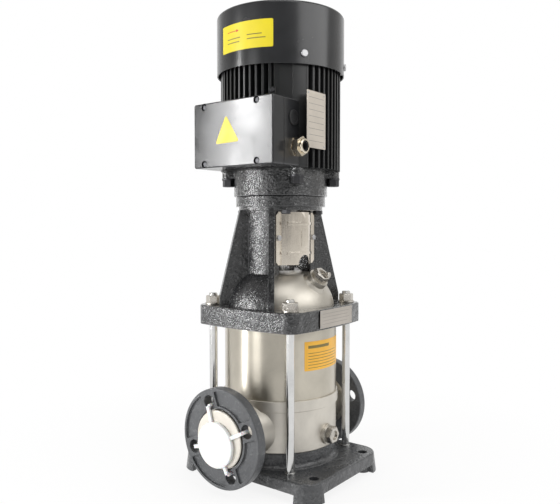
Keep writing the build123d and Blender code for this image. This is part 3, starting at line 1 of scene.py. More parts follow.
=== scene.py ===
# %% [markdown]
# # A vertical multistage pump, dressed for a studio picture
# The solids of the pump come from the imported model: castings, sleeve, rods, motor and screws.
# This lesson gives each of them a worked finish, adds the thin things that a maker sticks or
# cuts on last, such as plates, stickers and screw threads, and sets up a plain studio.

# %% Load the solids as a fixed frame
import bmesh
import bpy
from math import atan2, cos, pi, radians, sin, sqrt, tan
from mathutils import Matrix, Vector


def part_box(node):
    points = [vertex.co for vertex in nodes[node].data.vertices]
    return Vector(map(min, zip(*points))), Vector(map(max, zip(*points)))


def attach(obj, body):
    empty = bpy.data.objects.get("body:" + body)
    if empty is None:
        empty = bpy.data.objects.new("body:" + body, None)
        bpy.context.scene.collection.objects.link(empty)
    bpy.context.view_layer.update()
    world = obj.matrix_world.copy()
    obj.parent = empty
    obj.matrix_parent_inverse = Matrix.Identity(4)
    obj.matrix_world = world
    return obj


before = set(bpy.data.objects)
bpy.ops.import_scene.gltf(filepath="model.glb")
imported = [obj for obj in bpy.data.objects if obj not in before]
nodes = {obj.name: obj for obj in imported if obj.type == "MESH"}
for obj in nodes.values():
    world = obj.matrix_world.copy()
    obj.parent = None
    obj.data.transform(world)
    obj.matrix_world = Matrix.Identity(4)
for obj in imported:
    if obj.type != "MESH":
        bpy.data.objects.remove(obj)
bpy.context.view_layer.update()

# %% [markdown]
# ## Camera
# The viewer stands to the left of the service side, a metre away, and looks at the shaft
# about halfway up. A longer lens keeps the tall body upright, and a slight downward tilt
# shows the top of the base plate.

# %% Camera
cam_data = bpy.data.cameras.new("studio_camera")
cam_data.sensor_width = 36.0
cam_data.lens = 41.0
cam_data.shift_x = -0.0011
camera = bpy.data.objects.new("studio_camera", cam_data)
bpy.context.scene.collection.objects.link(camera)
azimuth = radians(-52.4)
camera_distance = 0.975
camera_height = 0.3747
camera_tilt = 2.42
camera.location = (camera_distance * sin(azimuth), -camera_distance * cos(azimuth), camera_height)
camera.rotation_euler = (radians(90 - camera_tilt), 0.0, azimuth)
bpy.context.scene.camera = camera
bpy.context.scene.view_settings.view_transform = "Standard"
print("camera at", [round(v, 3) for v in camera.location])

# %% [markdown]
# ## Room and light
# Polished steel shows the room more than itself. The wall behind the pump is white, and the
# wall behind the viewer is dark, so that tubes get tall bands of light and shade. A wide lamp
# hangs high on the right, a tall one stands on the left, and a narrow one further left puts a
# glare on the flat lid. The floor is white card that fades into the wall behind.

# %% Room
world = bpy.data.worlds.new("studio_room")
bpy.context.scene.world = world
world.use_nodes = True
tree = world.node_tree
tree.nodes.clear()
room_out = tree.nodes.new("ShaderNodeOutputWorld")
room_way = tree.nodes.new("ShaderNodeTexCoord")
room_split = tree.nodes.new("ShaderNodeSeparateXYZ")
room_angle = tree.nodes.new("ShaderNodeMath")
room_angle.operation = "ARCTAN2"
room_turn = tree.nodes.new("ShaderNodeMapRange")
room_turn.inputs["From Min"].default_value = -pi
room_turn.inputs["From Max"].default_value = pi
room_bands = tree.nodes.new("ShaderNodeValToRGB")
bands = room_bands.color_ramp
bands.interpolation = "EASE"


def room_position(angle):
    """Place on the ramp of a wall at an angle, in degrees, to the right of the viewer."""
    turn = azimuth + radians(angle)
    x, y = sin(turn), -cos(turn)
    return (atan2(y, x) + pi) / (2 * pi)


walls = [(180, 1.0), (-146, 1.0), (-118, 0.62), (-84, 0.36), (-50, 0.34), (-24, 0.16),
         (4, 0.12), (26, 0.22), (50, 0.38), (92, 0.50), (122, 0.66), (146, 1.0)]
stops = sorted((room_position(a) % 1.0, v) for a, v in walls)
for place, value in stops:
    stop = bands.elements.new(place)
    stop.color = (value, value * (0.985 if value < 1 else 1.0), value * (0.955 if value < 1 else 1.0), 1.0)
bands.elements.remove(bands.elements[0])
bands.elements.remove(bands.elements[-1])
room_walls = tree.nodes.new("ShaderNodeBackground")
tree.links.new(room_way.outputs["Generated"], room_split.inputs[0])
tree.links.new(room_split.outputs["Y"], room_angle.inputs[0])
tree.links.new(room_split.outputs["X"], room_angle.inputs[1])
tree.links.new(room_angle.outputs[0], room_turn.inputs["Value"])
tree.links.new(room_turn.outputs["Result"], room_bands.inputs["Fac"])
tree.links.new(room_bands.outputs["Color"], room_walls.inputs["Color"])
tree.links.new(room_walls.outputs[0], room_out.inputs["Surface"])
print("room stops:", len(bands.elements))


# %% Lamps
def softbox(name, angle, distance, height, size, power):
    """Tall soft lamp at an angle to the right of the viewer, facing the middle of the pump."""
    data = bpy.data.lights.new(name, "AREA")
    data.shape = "RECTANGLE"
    data.size, data.size_y = size
    data.energy = power
    lamp = bpy.data.objects.new(name, data)
    bpy.context.scene.collection.objects.link(lamp)
    turn = azimuth + radians(angle)
    lamp.location = (distance * sin(turn), -distance * cos(turn), height)
    aim = Vector((0.0, 0.0, 0.34)) - lamp.location
    lamp.rotation_euler = aim.to_track_quat("-Z", "Y").to_euler()
    return lamp


softbox("left_softbox", -48, 1.7, 0.42, (0.50, 1.1), 6.0)
softbox("lid_softbox", -75.2, 1.7, 0.45, (0.09, 1.1), 17.0)
softbox("right_softbox", 60, 1.7, 1.30, (1.9, 0.9), 14.0)
softbox("top_softbox", 10, 0.9, 1.9, (1.2, 1.2), 9.0)

# %% Floor
floor_mesh = bpy.data.meshes.new("studio_floor")
reach = 6.0
floor_mesh.from_pydata(
    [(-reach, -reach, 0), (reach, -reach, 0), (reach, reach, 0), (-reach, reach, 0)], [], [(0, 1, 2, 3)]
)
floor = bpy.data.objects.new("studio_floor", floor_mesh)
bpy.context.scene.collection.objects.link(floor)
floor.location.z = -0.0002
card = bpy.data.materials.new("white_card")
card.use_nodes = True
card_tree = card.node_tree
card_tree.nodes.clear()
card_out = card_tree.nodes.new("ShaderNodeOutputMaterial")
card_paper = card_tree.nodes.new("ShaderNodeBsdfDiffuse")
card_paper.inputs["Color"].default_value = (0.93, 0.93, 0.925, 1.0)
card_white = card_tree.nodes.new("ShaderNodeEmission")
card_white.inputs["Color"].default_value = (1.0, 1.0, 1.0, 1.0)
# seen by eye, in a mirror or through glass, the card is nearly all white, with a faint shadow
card_ray = card_tree.nodes.new("ShaderNodeLightPath")
seen = card_ray.outputs["Is Camera Ray"]
for other in ("Is Glossy Ray", "Is Transmission Ray"):
    most = card_tree.nodes.new("ShaderNodeMath")
    most.operation = "MAXIMUM"
    card_tree.links.new(seen, most.inputs[0])
    card_tree.links.new(card_ray.outputs[other], most.inputs[1])
    seen = most.outputs[0]
# away from the pump even the shadow fades, so that no horizon shows
card_place = card_tree.nodes.new("ShaderNodeTexCoord")
card_far = card_tree.nodes.new("ShaderNodeVectorMath")
card_far.operation = "LENGTH"
card_fade = card_tree.nodes.new("ShaderNodeMapRange")
card_fade.inputs["From Min"].default_value = 0.15
card_fade.inputs["From Max"].default_value = 0.60
card_fade.inputs["To Min"].default_value = 0.86
card_fade.inputs["To Max"].default_value = 1.0
share = card_tree.nodes.new("ShaderNodeMath")
share.operation = "MULTIPLY"
card_tree.links.new(card_place.outputs["Object"], card_far.inputs[0])
card_tree.links.new(card_far.outputs["Value"], card_fade.inputs["Value"])
card_tree.links.new(card_fade.outputs["Result"], share.inputs[1])
card_mix = card_tree.nodes.new("ShaderNodeMixShader")
card_tree.links.new(seen, share.inputs[0])
card_tree.links.new(share.outputs[0], card_mix.inputs["Fac"])
card_tree.links.new(card_paper.outputs[0], card_mix.inputs[1])
card_tree.links.new(card_white.outputs[0], card_mix.inputs[2])
card_tree.links.new(card_mix.outputs[0], card_out.inputs["Surface"])
floor_mesh.materials.append(card)
print("floor of", 2 * reach, "m")

# %% [markdown]
# ## A small kit for finishes
# Every finish below is a Principled shader with a few procedural nodes in front of it. All of
# them read Object coordinates, and every solid sits at the origin, so a grain runs on from one
# piece to the next at its true size. These helpers only save typing.


# %% Finish helpers
def start_finish(name, metallic, roughness, **sockets):
    """New material; its constants go straight onto the shader's own sockets."""
    mat = bpy.data.materials.new(name)
    mat.use_nodes = True
    shader = mat.node_tree.nodes["Principled BSDF"]
    shader.inputs["Metallic"].default_value = metallic
    shader.inputs["Roughness"].default_value = roughness
    for key, value in sockets.items():
        shader.inputs[key.replace("_", " ")].default_value = value
    return mat


def add_node(mat, kind, links=None, **values):
    """Adds a node; values set its sockets by name, links join other outputs to its sockets."""
    made = mat.node_tree.nodes.new(kind)
    for key, value in values.items():
        made.inputs[key.replace("_", " ")].default_value = value
    for key, source in (links or {}).items():
        mat.node_tree.links.new(source, made.inputs[key])
    return made


def object_place(mat, scale=(1, 1, 1), turn=(0, 0, 0), place=(0, 0, 0)):
    """Object coordinates, stretched or turned for a grain."""
    coord = add_node(mat, "ShaderNodeTexCoord")
    mapping = add_node(mat, "ShaderNodeMapping", {"Vector": coord.outputs["Object"]})
    mapping.inputs["Scale"].default_value = scale
    mapping.inputs["Rotation"].default_value = turn
    mapping.inputs["Location"].default_value = place
    return mapping.outputs["Vector"]


def noise(mat, where, scale, detail=3.0, roughness=0.55, distortion=0.0):
    made = add_node(mat, "ShaderNodeTexNoise", {"Vector": where}, Scale=scale, Detail=detail,
                    Roughness=roughness, Distortion=distortion)
    return made.outputs["Fac"]


def span(mat, value, low, high, to_low=0.0, to_high=1.0):
    """Stretches a value between low and high to a new range, clamped."""
    made = add_node(mat, "ShaderNodeMapRange", {"Value": value})
    made.inputs["From Min"].default_value = low
    made.inputs["From Max"].default_value = high
    made.inputs["To Min"].default_value = to_low
    made.inputs["To Max"].default_value = to_high
    return made.outputs["Result"]


def blend_colour(mat, factor, first, second):
    """Mixes two colours; either may be a colour or another node's output."""
    made = mat.node_tree.nodes.new("ShaderNodeMix")
    made.data_type = "RGBA"
    mat.node_tree.links.new(factor, made.inputs[0])
    for socket, colour in ((made.inputs[6], first), (made.inputs[7], second)):
        if isinstance(colour, tuple):
            socket.default_value = (*colour, 1.0)
        else:
            mat.node_tree.links.new(colour, socket)
    return made.outputs[2]


def join_values(mat, kind, first, second):
    made = mat.node_tree.nodes.new("ShaderNodeMath")
    made.operation = kind
    for socket, value in zip(made.inputs, (first, second)):
        if isinstance(value, (int, float)):
            socket.default_value = value
        else:
            mat.node_tree.links.new(value, socket)
    return made.outputs[0]


def relief(mat, height, depth, strength=1.0, under=None):
    """Bump of a depth in metres, on top of another bump if given."""
    made = add_node(mat, "ShaderNodeBump", {"Height": height}, Strength=strength, Distance=depth)
    if under is not None:
        mat.node_tree.links.new(under, made.inputs["Normal"])
    return made.outputs["Normal"]


def soft_edges(mat, radius):
    """Rounded look on sharp edges."""
    made = mat.node_tree.nodes.new("ShaderNodeBevel")
    made.samples = 6
    made.inputs["Radius"].default_value = radius
    return made.outputs["Normal"]


# the paler edge colour this mask drives is partly thin paint, partly a painted edge highlight
def worn_and_highlight_edges(mat, rounded):
    """1 on edges, 0 on faces, from how far the rounded normal leans from the true one."""
    geometry = add_node(mat, "ShaderNodeNewGeometry")
    dot = mat.node_tree.nodes.new("ShaderNodeVectorMath")
    dot.operation = "DOT_PRODUCT"
    mat.node_tree.links.new(rounded, dot.inputs[0])
    mat.node_tree.links.new(geometry.outputs["Normal"], dot.inputs[1])
    return span(mat, dot.outputs["Value"], 0.985, 0.80)


def finish(mat, colour=None, roughness=None, normal=None):
    """Joins the worked colour, roughness and normal to the shader."""
    shader = mat.node_tree.nodes["Principled BSDF"]
    for socket, source in (("Base Color", colour), ("Roughness", roughness), ("Normal", normal),
                           ("Coat Normal", normal)):
        if source is not None:
            mat.node_tree.links.new(source, shader.inputs[socket])
    return mat


print("finish helpers ready")

# %% [markdown]
# ## Painted castings
# Base plate, stool and flanges are sand castings under black paint. The sand leaves a grain of
# one to three millimetres, which the gloss paint catches as sparkling glints, and pale specks in
# the colour add painted glints. Edges are a little paler, partly where the paint is thin and
# partly as a painted edge highlight. Two sizes of noise make the grain, and a third keeps
# the gloss patchy.


# %% Cast iron under paint
def painted_casting(name, dark, pale, gloss, depth, coat, painted_glint_level=0.5):
    """Sand-cast surface under paint, from matt grey to wet black."""
    mat = start_finish(name, 0.0, gloss, Coat_Weight=coat, Coat_Roughness=0.12, Specular_IOR_Level=0.6)
    where = object_place(mat)
    grain = noise(mat, where, 280.0, 3.0, 0.6)
    lumps = noise(mat, where, 90.0, 3.0, 0.5)
    cloud = noise(mat, where, 16.0, 3.0, 0.5)
    rounded = soft_edges(mat, 0.0012)
    wear_and_highlight_edge = worn_and_highlight_edges(mat, rounded)
    body = blend_colour(mat, span(mat, cloud, 0.35, 0.7), dark, pale)
    # pale specks painted into the colour: painted glints of the gloss on the sand grain
    painted_glint_mask = span(mat, grain, 0.60, 0.68, 0.0, painted_glint_level)
    body = blend_colour(mat, painted_glint_mask, body, tuple(c + 0.14 for c in pale))
    # paler edges: partly thin paint, partly painted edge highlight
    body = blend_colour(mat, join_values(mat, "MULTIPLY", wear_and_highlight_edge, 0.35), body, (0.17, 0.17, 0.175))
    rough = span(mat, lumps, 0.3, 0.75, gloss - 0.08, gloss + 0.16)
    normal = relief(mat, lumps, depth * 2.5, 0.8, rounded)
    normal = relief(mat, grain, depth, 1.0, normal)
    return finish(mat, body, rough, normal)


black_casting = painted_casting("black_casting", (0.006, 0.0065, 0.0075), (0.014, 0.0145, 0.016),
                                gloss=0.18, depth=0.0010, coat=0.9, painted_glint_level=0.5)
grey_casting = painted_casting("grey_casting", (0.060, 0.063, 0.068), (0.095, 0.099, 0.105),
                               gloss=0.42, depth=0.0007, coat=0.1, painted_glint_level=0.35)
base_casting = painted_casting("base_casting", (0.036, 0.038, 0.041), (0.070, 0.073, 0.078),
                               gloss=0.30, depth=0.0009, coat=0.4, painted_glint_level=0.4)
print("castings:", [m.name for m in (black_casting, grey_casting, base_casting)])

# %% [markdown]
# ## Motor paint
# The motor's die-cast frame, its box and its sheet cowl share a thin dark satin paint, much
# smoother than the castings. Handling leaves soft smudges, which show only in the gloss.


# %% Satin paint
def satin_paint(name, colour, rough, grain_depth):
    mat = start_finish(name, 0.0, rough, Specular_IOR_Level=0.5, Coat_Weight=0.12, Coat_Roughness=0.3)
    where = object_place(mat)
    smudge = noise(mat, where, 9.0, 4.0, 0.6, 0.6)
    peel = noise(mat, where, 700.0, 2.0, 0.5)
    rounded = soft_edges(mat, 0.0007)
    wear_and_highlight_edge = worn_and_highlight_edges(mat, rounded)
    body = blend_colour(mat, span(mat, smudge, 0.3, 0.75), colour, tuple(c * 1.5 for c in colour))
    # paler edges: partly thin paint, partly painted edge highlight
    body = blend_colour(mat, join_values(mat, "MULTIPLY", wear_and_highlight_edge, 0.3), body, (0.22, 0.22, 0.22))
    uneven = span(mat, smudge, 0.3, 0.7, rough - 0.06, rough + 0.10)
    return finish(mat, body, uneven, relief(mat, peel, grain_depth, 0.5, rounded))


motor_paint = satin_paint("motor_paint", (0.009, 0.0095, 0.010), 0.32, 0.00006)
box_paint = satin_paint("box_paint", (0.018, 0.0185, 0.020), 0.17, 0.00002)
cowl_paint = satin_paint("cowl_paint", (0.018, 0.0185, 0.020), 0.20, 0.00001)
print("paints:", [m.name for m in (motor_paint, box_paint, cowl_paint)])

# %% [markdown]
# ## Stainless steel
# One metal in many finishes. The sleeve is rolled and polished round its axis, so its grain
# runs round and its lights stand up in bands. The chamber and head are blasted with beads,
# which leaves them matt and a little warm. Rods are ground bright, and guards are brushed.


# %% Steel finishes
def steel(name, colour, rough, grain_scale, grain_depth, cloud=0.06, stretch=(1, 1, 1), tint=None):
    """Bare steel with a directional or even grain and faint cloudy stains."""
    mat = start_finish(name, 1.0, rough)
    where = object_place(mat, stretch)
    grain = noise(mat, where, grain_scale, 3.0, 0.6)
    stains = noise(mat, object_place(mat), 22.0, 4.0, 0.6, 0.4)
    tint = tint or tuple(c * 0.82 for c in colour)
    body = blend_colour(mat, span(mat, stains, 0.35, 0.75), colour, tint)
    fine = span(mat, grain, 0.3, 0.7, rough - cloud, rough + cloud)
    normal = relief(mat, grain, grain_depth, 0.6, soft_edges(mat, 0.0005))
    return finish(mat, body, fine, normal)


sleeve_steel = steel("sleeve_steel", (0.585, 0.545, 0.465), 0.33, 260.0, 0.00003, 0.05, (1, 1, 14))
blasted_steel = steel("blasted_steel", (0.70, 0.665, 0.60), 0.46, 1500.0, 0.00007, 0.06)
head_steel = steel("head_steel", (0.62, 0.585, 0.52), 0.44, 1300.0, 0.00008, 0.06)
rod_steel = steel("rod_steel", (0.70, 0.70, 0.69), 0.15, 700.0, 0.00001, 0.03, (1, 1, 0.1))
guard_steel = steel("guard_steel", (0.84, 0.77, 0.67), 0.20, 500.0, 0.00002, 0.05, (1, 1, 0.08))
ring_steel = steel("ring_steel", (0.66, 0.64, 0.60), 0.30, 900.0, 0.00004, 0.06)
nut_steel = steel("nut_steel", (0.66, 0.63, 0.58), 0.27, 800.0, 0.00004, 0.07, tint=(0.44, 0.41, 0.37))
zinc_steel = steel("zinc_steel", (0.50, 0.50, 0.50), 0.42, 900.0, 0.00003, 0.06, tint=(0.55, 0.55, 0.57))
dark_steel = steel("dark_steel", (0.09, 0.09, 0.095), 0.42, 900.0, 0.00005, 0.08)
machined_steel = steel("machined_steel", (0.60, 0.59, 0.57), 0.30, 600.0, 0.00003, 0.06, (1, 1, 12))
nickel_brass = steel("nickel_brass", (0.80, 0.74, 0.62), 0.20, 600.0, 0.00002, 0.05, tint=(0.64, 0.55, 0.42))
sleeve_shader = sleeve_steel.node_tree.nodes["Principled BSDF"]
sleeve_shader.inputs["Anisotropic"].default_value = 0.85
sleeve_shader.inputs["Anisotropic Rotation"].default_value = 0.25
sleeve_way = sleeve_steel.node_tree.nodes.new("ShaderNodeTangent")
sleeve_way.direction_type = "RADIAL"
sleeve_way.axis = "Z"
sleeve_steel.node_tree.links.new(sleeve_way.outputs[0], sleeve_shader.inputs["Tangent"])
print("steels ready")

# %% [markdown]
# ## Plastic and rubber
# The port cap is thin white plastic that lets a little light through. The small black parts
# are moulded, with a fine satin skin, and the gasket is matt rubber.

# %% Plastics
white_plastic = start_finish("white_plastic", 0.0, 0.42, Subsurface_Weight=0.15, Subsurface_Scale=0.004)
cap_where = object_place(white_plastic)
cap_cloud = noise(white_plastic, cap_where, 60.0, 3.0, 0.5)
finish(
    white_plastic,
    blend_colour(white_plastic, span(white_plastic, cap_cloud, 0.3, 0.7),
                 (0.86, 0.865, 0.87), (0.80, 0.805, 0.81)),
    span(white_plastic, cap_cloud, 0.3, 0.7, 0.36, 0.5),
    relief(white_plastic, noise(white_plastic, cap_where, 240.0), 0.0001, 0.5,
           soft_edges(white_plastic, 0.0008)),
)


def moulded(name, colour, rough):
    mat = start_finish(name, 0.0, rough)
    skin = noise(mat, object_place(mat), 1400.0, 2.0, 0.5)
    patch = noise(mat, object_place(mat), 40.0, 3.0, 0.5)
    body = blend_colour(mat, span(mat, patch, 0.3, 0.7), colour, tuple(c * 1.5 for c in colour))
    return finish(mat, body, span(mat, patch, 0.3, 0.7, rough - 0.05, rough + 0.08),
                  relief(mat, skin, 0.00004, 0.5, soft_edges(mat, 0.0005)))


black_plastic = moulded("black_plastic", (0.014, 0.014, 0.015), 0.42)
black_rubber = moulded("black_rubber", (0.010, 0.010, 0.010), 0.75)
varnished_core = moulded("varnished_core", (0.10, 0.05, 0.03), 0.5)
lapped_carbide = moulded("lapped_carbide", (0.03, 0.03, 0.033), 0.15)
print("plastics ready")

# %% [markdown]
# ## Finishes onto the solids
# Each solid has one material slot from the record. Only the material in that slot changes,
# and the solid's shape is left as it is.

# %% Assign finishes
finishes = {
    base_casting: ["base_plate"],
    black_casting: ["motor_stool", "drive_end_shield"],
    grey_casting: ["inlet_flange", "outlet_flange"],
    motor_paint: ["motor_frame", "fan_end_shield"],
    box_paint: ["box_base", "box_lid"],
    cowl_paint: ["fan_cowl"],
    sleeve_steel: ["outer_sleeve"],
    blasted_steel: ["port_chamber"],
    head_steel: ["pump_head"],
    ring_steel: ["inlet_split_ring", "outlet_split_ring", "drain_washer"],
    rod_steel: ["tie_rods"],
    nut_steel: ["tie_rod_nuts", "tie_rod_washers", "drain_plug", "vent_plug", "vent_screw"],
    guard_steel: ["front_guard", "rear_guard"],
    zinc_steel: ["guard_screws", "cowl_screws", "seal_gland_screws", "coupling_screws",
                 "coupling_pin"],
    dark_steel: ["frame_bolts", "lid_screws", "stool_screws", "earth_screw"],
    machined_steel: ["suction_cup", "stage_chambers", "impellers", "pump_shaft", "seal_gland",
                     "motor_shaft", "motor_bearings", "coupling_halves"],
    nickel_brass: ["gland_body", "gland_nut"],
    white_plastic: ["inlet_cap"],
    black_plastic: ["cooling_fan", "knockout_plug", "terminal_block"],
    black_rubber: ["sleeve_seals", "box_gasket", "gland_seal"],
    lapped_carbide: ["seal_seat", "seal_face", "bottom_bearing"],
    varnished_core: ["stator", "rotor_core"],
}
dressed = set()
for mat, names in finishes.items():
    for name in names:
        for slot in nodes[name].material_slots:
            slot.material = mat
        dressed.add(name)
print("dressed:", len(dressed), "left:", sorted(set(nodes) - dressed))

# %% [markdown]
# ## Stickers and plates
# A sticker follows the surface it is on. Each is a thin solid strip: columns of points run
# along its length, and a function says where a point of the flat sticker lands, on a round
# cowl or a flat wall. The corners are rounded by shortening the first and last columns.


# %% Sticker helper
def sticker(name, columns, width, height, corner, thickness, place, material, body="pump"):
    """Thin plate width by height; place(s, t, lift) gives its point in space, in metres."""
    marks = []
    for k in range(columns + 1):
        marks.append(k / columns * width - width / 2)
    for k in range(1, 6):
        bend = corner * (1 - cos(k * pi / 10))
        marks += [bend - width / 2, width / 2 - bend]
    marks = sorted(set(round(m, 7) for m in marks))
    points, faces = [], []
    for s in marks:
        near = min(s + width / 2, width / 2 - s)
        cut = corner - sqrt(max(0.0, corner**2 - (corner - near) ** 2)) if near < corner else 0.0
        top = height / 2 - cut
        points += [place(s, -top, thickness), place(s, top, thickness), place(s, top, 0), place(s, -top, 0)]
    for k in range(len(marks) - 1):
        a, b = 4 * k, 4 * k + 4
        for j in range(4):
            faces.append((a + j, b + j, b + (j + 1) % 4, a + (j + 1) % 4))
    last = 4 * (len(marks) - 1)
    faces += [(3, 2, 1, 0)[::-1], (last + 3, last + 2, last + 1, last)]
    mesh = bpy.data.meshes.new(name)
    mesh.from_pydata(points, [], faces)
    mesh.validate()
    piece = bpy.data.objects.new(name, mesh)
    bpy.context.scene.collection.objects.link(piece)
    face_outwards(piece)
    mesh.materials.append(material)
    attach(piece, body)
    return piece


def face_outwards(piece):
    """Turns every face of a closed mesh to look outwards."""
    work = bmesh.new()
    work.from_mesh(piece.data)
    bmesh.ops.remove_doubles(work, verts=work.verts, dist=1e-7)
    bmesh.ops.recalc_face_normals(work, faces=work.faces)
    work.to_mesh(piece.data)
    work.free()


def round_wall(radius, middle, level):
    """Place on a cylinder about the shaft; middle in degrees from -Y towards -X."""

    def place(s, t, lift):
        turn = radians(middle) - s / radius
        r = radius + lift
        return (-r * sin(turn), -r * cos(turn), level + t)

    return place


def front_wall(x, y, level):
    """Place on a flat wall that faces -Y."""
    return lambda s, t, lift: (x + s, y - lift, level + t)


print("sticker helper ready")


# %% Print and plate finishes
def printed(name, colour, rough=0.35):
    """Coated paper with a faint uneven sheen."""
    mat = start_finish(name, 0.0, rough)
    where = object_place(mat)
    tone = noise(mat, where, 45.0, 3.0, 0.5)
    body = blend_colour(mat, span(mat, tone, 0.3, 0.7), colour, tuple(c * 0.93 for c in colour))
    return finish(mat, body, span(mat, tone, 0.3, 0.7, rough - 0.04, rough + 0.1),
                  relief(mat, noise(mat, where, 300.0, 2.0), 0.00003, 0.4))


yellow_print = printed("yellow_print", (0.80, 0.66, 0.03))
orange_print = printed("orange_print", (0.96, 0.52, 0.06))
red_print = printed("red_print", (0.60, 0.06, 0.02))
ink_print = printed("ink_print", (0.22, 0.18, 0.05))
grey_print = printed("grey_print", (0.30, 0.27, 0.25))
plate_metal = steel("plate_metal", (0.55, 0.51, 0.46), 0.42, 500.0, 0.00001, 0.05, (0.1, 0.1, 1))
pale_plate = steel("pale_plate", (0.78, 0.72, 0.64), 0.42, 500.0, 0.00001, 0.05, (0.1, 0.1, 1))
print("prints ready")

# %% Stickers on cowl, sleeve and lid
cowl_low, cowl_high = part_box("fan_cowl")
sleeve_low, sleeve_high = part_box("outer_sleeve")
cowl_radius = cowl_high.y
sleeve_radius = sleeve_high.y
paper = 0.0002
cowl_place = round_wall(cowl_radius, 85.2, cowl_low.z + 0.041)
sleeve_place = round_wall(sleeve_radius, 0.0, 0.188)
cowl_sticker = sticker("cowl_sticker", 24, radians(53.5) * cowl_radius, 0.038, 0.002, paper,
                       cowl_place, yellow_print)
sleeve_sticker = sticker("sleeve_sticker", 24, radians(58) * sleeve_radius, 0.042, 0.001, paper,
                         sleeve_place, orange_print)
print("stickers:", cowl_sticker.name, sleeve_sticker.name)

# %% Plates on the motor and the head
fin_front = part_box("motor_frame")[0].y
stool_low, stool_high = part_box("motor_stool")
motor_sheet = 0.0005
head_sheet = 0.0004
motor_place = front_wall(-0.036, fin_front, 0.520)
head_place = front_wall(0.006, stool_low.y, 0.2418)
motor_plate = sticker("motor_plate", 2, 0.045, 0.078, 0.001, motor_sheet,
                      motor_place, pale_plate)
head_plate = sticker("head_plate", 8, 0.084, 0.0255, 0.0008, head_sheet,
                     head_place, plate_metal)
print("plates:", motor_plate.name, head_plate.name)

# %% Bare triangle on the lid
lid_low, lid_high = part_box("box_lid")


def triangle_sign(name, points, rounding, thickness, material):
    """Flat three-cornered plate on the lid, with rounded corners; points are (y, z)."""
    rim = []
    for k in range(3):
        here = Vector(points[k])
        before = (Vector(points[k - 1]) - here).normalized()
        after = (Vector(points[(k + 1) % 3]) - here).normalized()
        half = before.angle(after) / 2
        middle = here + (before + after).normalized() * (rounding / sin(half))
        first = here + before * (rounding / tan(half)) - middle
        last = here + after * (rounding / tan(half)) - middle
        turn = first.angle_signed(last)
        for j in range(7):
            a = -turn * j / 6
            swung = Vector((first.x * cos(a) - first.y * sin(a), first.x * sin(a) + first.y * cos(a)))
            rim.append(middle + swung)
    wall = lid_low.x
    count = len(rim)
    verts = [(wall - thickness, v.x, v.y) for v in rim] + [(wall, v.x, v.y) for v in rim]
    faces = [tuple(range(count)), tuple(range(2 * count - 1, count - 1, -1))]
    faces += [(k, (k + 1) % count, count + (k + 1) % count, count + k) for k in range(count)]
    mesh = bpy.data.meshes.new(name)
    mesh.from_pydata(verts, [], faces)
    mesh.validate()
    piece = bpy.data.objects.new(name, mesh)
    bpy.context.scene.collection.objects.link(piece)
    face_outwards(piece)
    mesh.materials.append(material)
    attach(piece, "pump")
    return piece


lid_corners = [(0.0106, 0.5275), (0.0305, 0.4885), (-0.0135, 0.4897)]
lid_triangle = triangle_sign("lid_triangle", lid_corners, 0.0022, paper, yellow_print)
print("triangle:", len(lid_triangle.data.vertices), "points")

# %% [markdown]
# ## Small things that repeat
# Threads, rivets and printed rules repeat, so three small node groups make them. Each group
# runs once and leaves a plain mesh. The rules are made flat, and the same place functions
# that bend a sticker then bend them. They stand for lines of print and carry no letters.


# %% Node group helpers
def new_group(name, *sockets):
    """Geometry node group with named inputs and one output."""
    group = bpy.data.node_groups.new(name, "GeometryNodeTree")
    for label, kind, value in sockets:
        made = group.interface.new_socket(label, in_out="INPUT", socket_type="NodeSocket" + kind)
        if value is not None:
            made.default_value = value
    group.interface.new_socket("Geometry", in_out="OUTPUT", socket_type="NodeSocketGeometry")
    return group, group.nodes.new("NodeGroupInput"), group.nodes.new("NodeGroupOutput")


def add_step(group, kind, links=None, **values):
    """Node of a group; links join outputs to its inputs, by name or number."""
    made = group.nodes.new(kind)
    for key, value in values.items():
        made.inputs[key.replace("_", " ")].default_value = value
    for key, source in (links or {}).items():
        group.links.new(source, made.inputs[key])
    return made


def close_group(group, source, given, out):
    """Ends a group: real geometry with one material."""
    real = add_step(group, "GeometryNodeRealizeInstances", {"Geometry": source})
    dressed_up = add_step(group, "GeometryNodeSetMaterial",
                          {"Geometry": real.outputs[0], "Material": given})
    group.links.new(dressed_up.outputs[0], out.inputs[0])


def grow(name, group, values, move, body="pump"):
    """Runs a group once, moves its points by a function and keeps a plain mesh."""
    host = bpy.data.objects.new(name, bpy.data.meshes.new(name + "_seed"))
    bpy.context.scene.collection.objects.link(host)
    modifier = host.modifiers.new(name, "NODES")
    sockets = {i.name: i.identifier for i in group.interface.items_tree if i.in_out == "INPUT"}
    modifier.node_group = group
    for label, value in values.items():
        modifier[sockets[label]] = value
    bpy.context.view_layer.update()
    ready = host.evaluated_get(bpy.context.evaluated_depsgraph_get())
    mesh = bpy.data.meshes.new_from_object(ready)
    mesh.name = name
    host.modifiers.clear()
    host.data = mesh
    for vertex in mesh.vertices:
        vertex.co = move(*vertex.co)
    face_outwards(host)
    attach(host, body)
    return host


print("group helpers ready")

